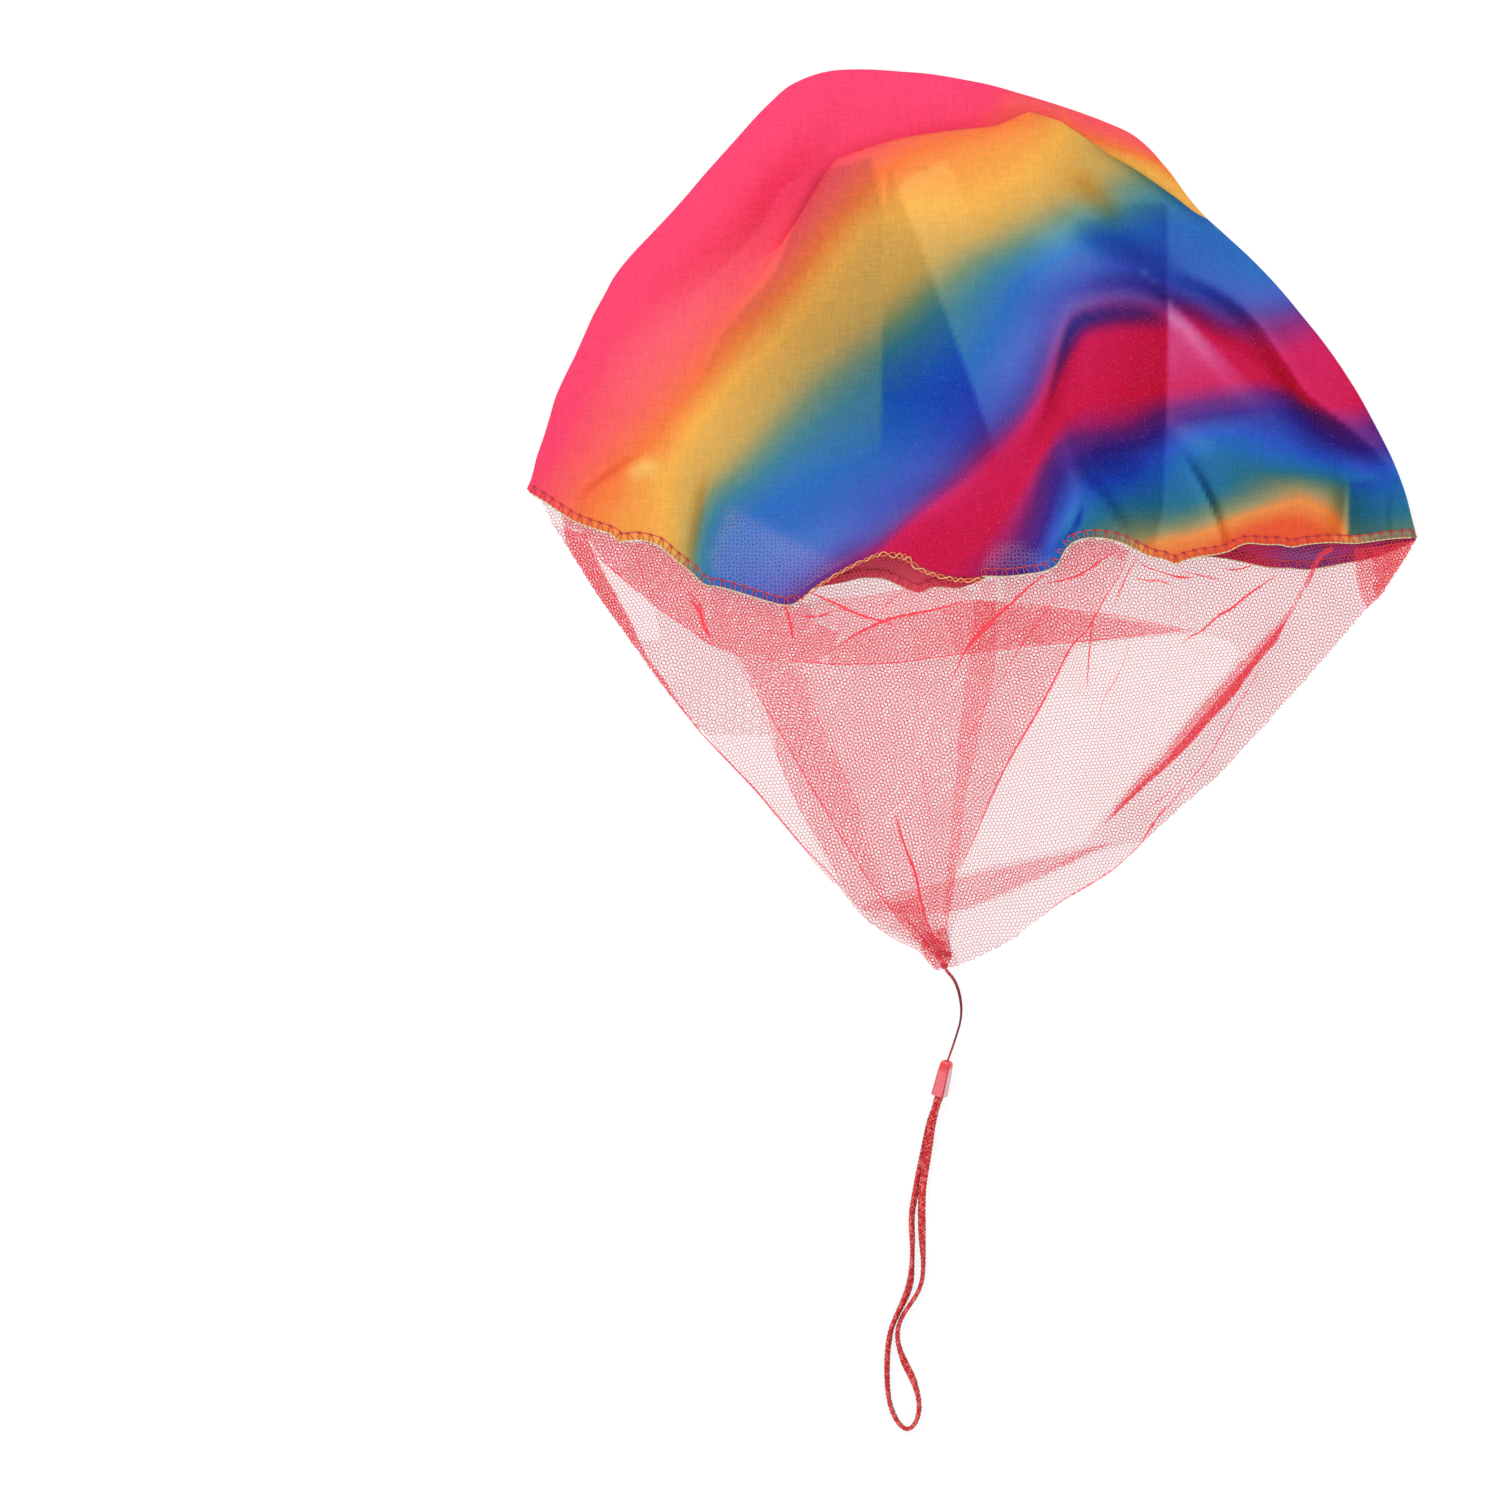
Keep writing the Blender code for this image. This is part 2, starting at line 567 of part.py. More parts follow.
def ferrule_frame():
    """World placement of the ferrule: +Z runs from its rounded top to its open end."""
    down = Vector((
        -math.sin(FERRULE_HEADING) * math.cos(FERRULE_PITCH),
        -math.cos(FERRULE_HEADING) * math.cos(FERRULE_PITCH),
        -math.sin(FERRULE_PITCH),
    ))
    right = Vector((math.cos(FERRULE_HEADING), -math.sin(FERRULE_HEADING), 0))
    frame = Matrix((right, down.cross(right), down)).transposed()
    return Matrix.Translation(FERRULE_TOP) @ frame.to_4x4() @ Matrix.Rotation(FERRULE_ROLL, 4, "Z")


def section(width, depth, z, squareness):
    """A rounded rectangle across the ferrule."""
    turn = 2 * math.pi * np.arange(FERRULE_SIDES) / FERRULE_SIDES
    x = width / 2 * np.sign(np.cos(turn)) * np.abs(np.cos(turn)) ** (2 / squareness)
    y = depth / 2 * np.sign(np.sin(turn)) * np.abs(np.sin(turn)) ** (2 / squareness)
    return np.column_stack([x, y, np.full(FERRULE_SIDES, z)])


def build_ferrule(pivot):
    """The moulded sleeve: a domed top with the cord's hole, a knot chamber and the strap's socket."""
    rows = []
    for way, share in FERRULE_DOME_SHARES:
        size = FERRULE_TOP_WIDTH * share, FERRULE_TOP_DEPTH * share
        rows.append(section(*size, way * FERRULE_ROUNDING, DOME_SQUARENESS + way))
    rows.append(section(FERRULE_WIDTH, FERRULE_DEPTH, FERRULE_LENGTH, BODY_SQUARENESS))
    socket_end = FERRULE_LENGTH - SOCKET_LENGTH
    chamber = SOCKET_DEPTH
    rows.append(section(SOCKET_WIDTH, SOCKET_DEPTH, FERRULE_LENGTH, BODY_SQUARENESS))
    rows.append(section(SOCKET_WIDTH, SOCKET_DEPTH, socket_end, BODY_SQUARENESS))
    rows.append(section(chamber, chamber, socket_end - (SOCKET_WIDTH - chamber) / 2, OVAL))
    rows.append(section(chamber, chamber, KNOT_CHAMBER_TOP + chamber_taper(), OVAL))
    rows.append(section(CORD_HOLE_DIAMETER, CORD_HOLE_DIAMETER, KNOT_CHAMBER_TOP, OVAL))
    rows.append(section(CORD_HOLE_DIAMETER, CORD_HOLE_DIAMETER, 0, OVAL))
    faces = rows_to_faces(rows)
    last = (len(rows) - 1) * FERRULE_SIDES
    for i in range(FERRULE_SIDES):
        j = (i + 1) % FERRULE_SIDES
        faces.append((last + i, last + j, j, i))
    plastic = make_material("red_plastic", (0.83, 0.05, 0.09), 0.35)
    ferrule = add_object("ferrule", mesh_from("ferrule", np.vstack(rows), faces), plastic)
    place_in_ferrule(ferrule, pivot)


def chamber_taper():
    """The length of the shallow cone between the cord's hole and the knot chamber."""
    return (SOCKET_DEPTH - CORD_HOLE_DIAMETER) / 4


def place_in_ferrule(item, pivot):
    item.matrix_world = ferrule_frame()
    attach(item, pivot)


def build_cord_stop_knot(cord_material, pivot):
    """The cord's knotted end in the ferrule's chamber, with the cord's neck up through the hole."""
    radius = STOP_KNOT_DIAMETER / 2
    neck = CORD_HOLE_DIAMETER / 2 - HOLE_CLEARANCE
    middle = KNOT_CHAMBER_TOP + chamber_taper() + radius
    start = math.asin(neck / radius)
    profile = [(neck, CLEARANCE)]
    profile += [
        (radius * math.sin(angle), middle - radius * math.cos(angle))
        for angle in np.linspace(start, math.pi, KNOT_SIDES // 2 + 1)[:-1]
    ]
    rows = [section(2 * r, 2 * r, z, OVAL)[::2] for r, z in profile]
    points = np.vstack([*rows, [(0, 0, CLEARANCE)], [(0, 0, middle + radius)]])
    count = len(rows[0])
    faces = rows_to_faces(rows)
    for first, tip in ((0, len(points) - 2), ((len(rows) - 1) * count, len(points) - 1)):
        faces += [(first + i, first + (i + 1) % count, tip) for i in range(count)]
    knot = add_object("cord_stop_knot", mesh_from("cord_stop_knot", points, faces), cord_material)
    place_in_ferrule(knot, pivot)


def strap_points():
    """The strap's middle line and tilts, from one end in the socket round the loop to the other."""
    frame = ferrule_frame()
    inside = []
    for side in (-1, 1):
        y = side * STRAP_LAYER_SPACING / 2
        ends = [frame @ Vector((0, y, z)) for z in (FERRULE_LENGTH - STRAP_REACH, FERRULE_LENGTH)]
        tilt = math.degrees(FERRULE_ROLL) if side < 0 else 180 - math.degrees(FERRULE_ROLL)
        inside.append([(*end, tilt) for end in ends])
    return smooth_line([*inside[0], *STRAP_ROUTE, *inside[1][::-1]])


def build_strap_loop(pivot):
    """The flat braided strap, a band with rounded edges swept along its route and tilted on the way."""
    outline = bpy.data.curves.new("strap_section", "CURVE")
    outline.dimensions = "2D"
    edge = outline.splines.new("POLY")
    edge.points.add(7)
    half_width = STRAP_WIDTH / 2
    half_thickness = STRAP_THICKNESS / 2
    flat = half_width - half_thickness
    corners = ((half_width, STRAP_EDGE_SHARE), (flat, 1), (-flat, 1), (-half_width, STRAP_EDGE_SHARE))
    corners += tuple((x, -y) for x, y in corners[::-1])
    for place, (x, y) in zip(edge.points, corners[::-1]):
        place.co = (x, y * half_thickness, 0, 1)
    edge.use_cyclic_u = True
    guide = bpy.data.objects.new("strap_section", outline)
    guide.hide_render = True
    guide.display_type = "WIRE"
    bpy.context.scene.collection.objects.link(guide)
    line = along(strap_points(), np.linspace(0, 1, STRAP_STEPS))
    curve = bpy.data.curves.new("strap_loop", "CURVE")
    curve.dimensions = "3D"
    curve.twist_mode = "Z_UP"
    curve.bevel_mode = "OBJECT"
    curve.bevel_object = guide
    curve.use_fill_caps = True
    spline = curve.splines.new("POLY")
    spline.points.add(len(line) - 1)
    for place, (x, y, z, tilt) in zip(spline.points, line):
        place.co = (x, y, z, 1)
        place.tilt = math.radians(tilt)
    braid = make_material("red_braid", (0.72, 0.035, 0.045), 0.7)
    attach(add_object("strap_loop", curve, braid), pivot)


def main():
    clear_scene()
    build_canopy()
    build_hem_seam()
    build_net_skirt()
    red_cord = make_material("red_cord", (0.32, 0.025, 0.035), 0.6)
    build_cord_hitch(red_cord)
    knot_pivot = add_pivot("knot_pivot", KNOT_CENTRE)
    build_cord_knot(red_cord, knot_pivot)
    build_tie_cord(red_cord, knot_pivot)
    ferrule_pivot = add_pivot("ferrule_pivot", FERRULE_TOP)
    build_ferrule(ferrule_pivot)
    build_cord_stop_knot(red_cord, ferrule_pivot)
    build_strap_loop(ferrule_pivot)


main()
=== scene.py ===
"""A toy parachute laid flat: a tie-dyed sheer canopy, a tulle skirt, a doubled cord, a ferrule and a strap."""

import math

import bmesh
import bpy
import numpy as np
from mathutils import Matrix, Vector


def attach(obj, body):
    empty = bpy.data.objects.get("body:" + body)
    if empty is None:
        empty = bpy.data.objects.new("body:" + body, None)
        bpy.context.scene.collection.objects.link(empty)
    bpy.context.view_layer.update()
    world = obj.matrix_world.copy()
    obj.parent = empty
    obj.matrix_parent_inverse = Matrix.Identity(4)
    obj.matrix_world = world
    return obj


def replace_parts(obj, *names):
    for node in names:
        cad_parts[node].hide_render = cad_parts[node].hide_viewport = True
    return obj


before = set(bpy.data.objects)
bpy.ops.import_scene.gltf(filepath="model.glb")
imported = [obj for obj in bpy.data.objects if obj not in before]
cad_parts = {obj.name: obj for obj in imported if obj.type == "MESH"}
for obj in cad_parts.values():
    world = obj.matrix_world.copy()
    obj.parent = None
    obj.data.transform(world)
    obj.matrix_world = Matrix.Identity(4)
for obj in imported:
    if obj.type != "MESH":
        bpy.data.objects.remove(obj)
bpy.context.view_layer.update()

MILLIMETRE = 0.001

# The laid canopy and net, as in the CAD model
LAID_WIDTH = 0.31115
CANOPY_RISE = 0.16275
NET_DROP = 0.1491
CANOPY_PUFF = 0.024
NET_PUFF = 0.010
EDGE_GAP = 0.0026
FOLD_DEPTH = 0.018
SEAM_WIDTH = 0.0029
PUFF_FLATNESS = 1.3
MOUTH_Y = (NET_DROP - CANOPY_RISE) / 2

# The plan drawing of the laid toy: its unit and the place of its middle, across and down
PLAN_UNIT = 0.00035
PLAN_MIDDLE = (971.5, 515.5)

# The camera over the drawing's sheet
SHEET_MIDDLE = (750, 750)
SHEET_WIDTH = 1500
CAMERA_HEIGHT = 3.0

FLOOR_DROP = 0.0002

# The canopy's outlines, drawn in plan. All drawn lines are rows of x and y in turn
LEFT_OUTLINE = (
    527, 487, 532, 475, 537, 455, 544, 435, 550, 415, 556, 395, 565, 375, 575, 355, 584, 335, 593, 315, 604, 295,
    615, 275, 631, 255, 650, 235, 669, 215, 687, 195, 704, 175, 722, 155, 740, 135, 758, 115, 779.5, 94,
)
TOP_OUTLINE = (
    779.5, 94, 790, 86, 808, 77.5, 825, 72.5, 842, 70.3, 870, 70, 900, 72, 930, 74.5, 960, 79.5, 990, 85.5, 1020, 94,
    1050, 103, 1080, 113, 1110, 124.5, 1132, 135, 1150, 150, 1163, 165,
)
RIGHT_OUTLINE = (
    1416, 536, 1415, 530, 1411, 515, 1406, 495, 1399, 475, 1390.5, 455, 1380.5, 435, 1370, 415, 1359, 395,
    1346.5, 375, 1333, 355, 1318, 335, 1301.5, 315, 1285, 295, 1267, 275, 1247, 255, 1225, 235, 1203, 215, 1186, 195,
    1171.5, 175, 1163, 165,
)
# The lower edges of the front and back hems, drawn in plan
FRONT_HEM_LINE = (
    527, 489, 530, 492.8, 540.2, 499.1, 549.1, 504.9, 559.3, 511.9, 572.1, 520.2, 581, 524, 591.2, 527.8, 601.4, 531,
    611.6, 534.8, 619.9, 541.6, 626.9, 541.2, 638.4, 540.3, 649.9, 542.5, 658.8, 545.7, 667.8, 553.3, 676.7, 561,
    685.6, 568, 694.5, 575.7, 702.2, 583.3, 708.6, 586.1, 717.5, 587.2, 730, 590.2, 747.3, 595.5, 758.6, 599.1,
    768.8, 602.1, 779, 604.8, 788.2, 605.8, 795.3, 603.8, 802.4, 598.8, 810.6, 592, 818.8, 585.6, 828.5, 579.4,
    837.4, 574.3, 847.6, 568.7, 856.5, 564.2, 865.5, 560.4, 874.4, 556.6, 882, 555, 898.6, 555.3, 906.3, 556.6,
    912.7, 561, 919, 566.1, 926.7, 569.3, 939.4, 573.2, 952.2, 576.4, 965, 577.6, 980, 577.1, 999.1, 577.2,
    1011.9, 576.7, 1024.6, 575.1, 1037.4, 573.4, 1047.6, 570.6, 1055.3, 566.1, 1059.1, 560.4, 1062.3, 554,
    1066.7, 547.7, 1073.1, 542.6, 1080.8, 540, 1090, 538.6, 1100, 538.8, 1107.6, 540, 1115.2, 541.9, 1124.1, 545.1,
    1133.1, 549.6, 1142, 554, 1152.2, 557.9, 1161.1, 559.5, 1168.8, 562.7, 1172.2, 564, 1177, 563.5, 1183.3, 560.9,
    1198.1, 557.2, 1214.7, 554.9, 1227.7, 551.6, 1238.8, 546.1, 1248, 543.8, 1264.7, 545.1, 1277.6, 545.1,
    1290.6, 547.5, 1303.5, 545.1, 1320.2, 543.3, 1334.9, 542.9, 1353.4, 543.7, 1370.1, 541.8, 1388.6, 539.2,
    1405.2, 537.9, 1416, 538.1,
)
BACK_HEM_LINE = (
    527, 489, 560, 508.5, 592, 524.5, 620, 538, 650, 539.5, 668, 550, 700, 578, 730, 587, 760, 596, 785, 602,
    795, 600.5, 803, 595, 812, 588.5, 821, 586, 833.6, 584, 846.3, 581.5, 859, 578.3, 871.8, 577.6, 884.6, 578.9,
    894.8, 583.4, 905, 587.8, 913.9, 591.7, 922.9, 591.7, 930.5, 587.8, 940.7, 586.6, 952.2, 587.8, 961.1, 587.2,
    971.3, 584, 982, 579, 992, 574.5, 1025, 572, 1040, 569, 1050, 565, 1057, 558, 1062, 549, 1068, 542, 1080, 536.5,
    1100, 535.5, 1124, 542, 1150, 554, 1168, 560, 1180, 559, 1195, 556, 1212.9, 557, 1233.2, 559.9, 1253.6, 564.6,
    1270.2, 567.7, 1288.7, 568.3, 1307.2, 569.6, 1325.7, 567, 1344.2, 563.6, 1362.7, 560.3, 1381.2, 555.3,
    1399.7, 547.9, 1416, 540,
)
# The edge of the front's main fold, drawn in plan
FOLD_EDGE = (
    616, 349, 700, 288, 755, 233, 779, 191, 817, 167, 860, 152, 893, 142, 924, 136.7, 954, 132.7, 992, 128.9,
    1011, 121.8, 1025, 115.5, 1037, 110.5, 1045, 113.5, 1063, 126, 1081.8, 138, 1105.4, 154.4, 1129, 167.4,
    1152.6, 182.7, 1176.2, 199.2, 1195, 213.4, 1214, 223, 1228, 234, 1250, 253, 1271, 274, 1292, 299,
)
# How the front's rows run: the share of the way up to the fold, back under it, on to the top edge, and the height
FOLD_ROW_SHARES = (
    (0.00, 0.00, 0.00, 0.45), (0.13, 0.00, 0.00, 0.62), (0.28, 0.00, 0.00, 0.80), (0.44, 0.00, 0.00, 0.93),
    (0.60, 0.00, 0.00, 0.98), (0.76, 0.00, 0.00, 0.88), (0.90, 0.00, 0.00, 0.70), (0.98, 0.00, 0.00, 0.54),
    (1.00, 0.00, 0.00, 0.42), (1.00, 0.35, 0.00, 0.31), (1.00, 1.00, 0.00, 0.24), (1.00, 0.90, 0.00, 0.13),
    (1.00, 0.00, 0.15, 0.16), (1.00, 0.00, 0.60, 0.14), (1.00, 0.00, 1.00, 0.00),
)
# The same height where there is no fold, from the hem to the top edge
PLAIN_HEIGHT_SHARES = ((0.00, 0.45), (0.30, 0.85), (0.55, 0.95), (0.80, 0.60), (0.93, 0.25), (1.00, 0.00))
# Where across the front the fold starts and grows shallow, by how much, and how near to the top edge it may come
FOLD_START_SHARES = (0.12, 0.24)
FOLD_END_SHARES = (0.70, 0.98)
FOLD_SHALLOWING = 0.9
FOLD_LIMIT_SHARE = 0.955
# The rows before the fold's turn over which the dyes behind it come in, and where the fold runs out to the right
BEHIND_BLEND = 0.05
FOLD_RUNS_OUT = (0.944, FOLD_LIMIT_SHARE)
FOLD_RUNS_OUT_ACROSS = (0.70, 0.72)

CANOPY_COLUMNS = 300
CANOPY_ROWS = 220
BACK_ROWS = CANOPY_ROWS // 3
# Heights of the back's cloth, hem and net over the floor
BACK_CLOTH_HEIGHT = 0.0003
BACK_HEM_HEIGHT = 0.0006
BACK_NET_HEIGHT = 0.0005

# The dye bands of the front, as lines in the plan drawing, each with its place in the row of dyes
FRONT_DYE_LINES = (
    (11.8, (540, 430, 590, 310, 690, 185, 760, 125)),
    (11.3, (548, 465, 595, 370, 660, 285, 730, 225, 790, 180)),
    (10.6, (572, 478, 640, 402, 700, 335, 770, 268, 815, 215, 850, 172, 900, 132, 980, 115)),
    (10.0, (588, 515, 612, 485, 634, 458, 667, 421, 708, 371, 740, 333, 784, 292, 816, 250, 845, 215, 880, 178,
        930, 150, 1000, 128, 1050, 105)),
    (9.6, (622, 525, 634, 498, 648, 470, 668, 448)),
    (9.1, (664, 545, 670, 512, 670, 482, 690, 442, 731, 390, 778, 345, 831, 282, 862, 240, 900, 222, 950, 220,
        990, 203, 1030, 180, 1058, 152, 1070, 132)),
    (8.5, (682, 562, 686, 525, 696, 490, 728, 455, 770, 404, 815, 360, 860, 325, 905, 287, 930, 265, 954, 250,
        985, 238, 1010, 222, 1035, 210, 1060, 198, 1085, 182, 1105, 165, 1100, 152)),
    (7.8, (692, 572, 700, 525, 716, 495, 752, 467, 790, 427, 831, 390, 872, 358, 910, 330, 942, 298, 978, 268,
        1006, 254, 1037, 236, 1060, 222, 1096, 205, 1130, 190, 1148, 184)),
    (7.0, (722, 570, 750, 527, 800, 492, 850, 468, 900, 440, 930, 412, 960, 380, 985, 345, 1000, 318, 1018, 288,
        1050, 262, 1085, 245, 1120, 237, 1155, 230, 1190, 226, 1225, 244, 1250, 264, 1262, 272)),
    (6.3, (765, 595, 812, 562, 860, 522, 905, 484, 953, 444, 985, 412, 1008, 385, 1026, 350, 1044, 312, 1074, 284,
        1110, 272, 1150, 275, 1190, 292, 1230, 300, 1255, 300, 1278, 296)),
    (5.7, (790, 605, 820, 580, 845, 560, 880, 540, 912, 512, 945, 484, 972, 458, 995, 438, 1022, 410, 1040, 378,
        1055, 345, 1078, 318, 1118, 305, 1158, 305, 1190, 306, 1225, 322, 1262, 322, 1284, 318)),
    (5.0, (850, 590, 890, 545, 930, 512, 960, 492, 985, 472, 1015, 441, 1040, 405, 1060, 370, 1085, 344, 1120, 334,
        1160, 333, 1200, 335, 1240, 349, 1275, 358, 1318, 348)),
    (4.2, (900, 600, 960, 560, 1000, 515, 1030, 472, 1055, 428, 1090, 404, 1130, 400, 1165, 392, 1200, 385, 1240, 380,
        1278, 382, 1312, 404, 1352, 404)),
    (3.5, (985, 590, 1012, 552, 1030, 515, 1040, 480, 1060, 445, 1095, 438, 1128, 432, 1160, 416, 1190, 406,
        1225, 400, 1275, 396, 1318, 418, 1345, 430, 1376, 424)),
    (3.0, (1010, 590, 1035, 548, 1048, 512, 1062, 475, 1095, 455, 1140, 444, 1165, 432, 1195, 420, 1240, 414,
        1285, 412, 1320, 436, 1355, 452, 1390, 448)),
    (2.2, (1035, 585, 1050, 550, 1060, 520, 1078, 492, 1107, 482, 1140, 470, 1170, 450, 1200, 436, 1240, 434,
        1290, 450, 1335, 462, 1375, 472, 1400, 462)),
    (1.4, (1065, 565, 1076, 542, 1097, 520, 1128, 509, 1165, 507, 1200, 500, 1240, 487, 1290, 478, 1335, 480,
        1362, 492, 1385, 508, 1414, 505)),
    (1.0, (1088, 556, 1102, 540, 1130, 532, 1160, 527, 1200, 518, 1240, 503, 1290, 491, 1335, 494, 1352, 515,
        1380, 535, 1416, 528)),
    (0.6, (1112, 562, 1137, 551, 1165, 541, 1200, 534, 1245, 517, 1295, 505, 1325, 512, 1342, 530, 1352, 548)),
    (0.0, (1150, 576, 1190, 563, 1225, 545, 1260, 527, 1300, 522, 1325, 540)),
)
# The same for the cloth behind the fold, and for the canopy's back
REAR_DYE_LINES = (
    (11.8, (540, 430, 590, 310, 690, 185, 780, 92, 850, 70, 940, 78)),
    (11.4, (560, 480, 640, 360, 760, 230, 860, 160, 950, 130, 980, 96, 1000, 88)),
    (10.9, (1020, 95, 1060, 106, 1100, 118, 1140, 134)),
    (10.5, (1055, 120, 1085, 131, 1125, 140, 1155, 156)),
    (10.0, (1078, 136, 1112, 147, 1150, 159, 1170, 172)),
    (9.3, (1098, 151, 1132, 162, 1165, 178, 1186, 194)),
    (9.0, (1130, 175, 1180, 206, 1204, 222)),
)
BACK_DYE_LINES = (
    (4.8, (520, 600, 820, 640, 1060, 600, 1300, 590)),
    (5.7, (1286, 551, 1305, 549, 1324, 549)),
    (5.0, (560, 530, 700, 560, 860, 560, 960, 545, 1060, 535, 1200, 530, 1300, 535, 1380, 560)),
    (6.3, (560, 480, 700, 500, 860, 500, 1000, 480, 1200, 470, 1340, 500)),
    (7.4, (570, 420, 700, 430, 860, 430, 1000, 410, 1200, 400, 1360, 440)),
    (8.8, (600, 350, 720, 350, 860, 340, 1000, 320, 1180, 320, 1320, 380)),
    (10.2, (640, 270, 760, 250, 880, 230, 1000, 220, 1140, 230, 1280, 320)),
    (11.6, (720, 170, 800, 120, 900, 100, 1000, 110, 1120, 150, 1220, 250)),
)
# The coral patch of the back at the turned-over hem, drawn in plan: its upper corners, its dye, and how much it is
# lightened, a painted light where it lies in the shadow of the front's hem
CORAL_PATCH = ((812, 530), (1004, 530))
CORAL_DYE = 11.0
CORAL_PAINTED_LIGHT = 0.5

# The row of dyes: places in it and sRGB colours
DYES = (
    (0.0, (236, 90, 52)),
    (0.6, (240, 146, 74)),
    (0.85, (156, 148, 108)),
    (1.0, (122, 136, 108)),
    (1.2, (78, 124, 122)),
    (1.4, (42, 116, 144)),
    (1.8, (34, 106, 184)),
    (2.2, (44, 88, 196)),
    (3.0, (58, 38, 140)),
    (3.5, (102, 30, 114)),
    (4.2, (206, 18, 70)),
    (5.0, (208, 24, 84)),
    (5.5, (132, 36, 116)),
    (5.9, (84, 62, 154)),
    (6.3, (66, 88, 188)),
    (7.0, (44, 108, 192)),
    (7.5, (66, 130, 150)),
    (7.9, (116, 144, 116)),
    (8.5, (202, 166, 90)),
    (9.2, (244, 176, 76)),
    (10.0, (246, 120, 62)),
    (10.6, (248, 94, 92)),
    (11.3, (250, 68, 106)),
    (12.0, (251, 68, 116)),
)
DYE_END = 12.0
# How much a dye field is smoothed, and how many places it is worked out for at a time
DYE_SMOOTHING = 2e-5
DYE_BATCH = 8000

RIGHT_RIDGE = (
    1195, 282, 1230.6, 304.4, 1252.5, 323, 1271, 348, 1290, 376, 1302.5, 395, 1330.6, 417, 1362, 442, 1397, 477,
)
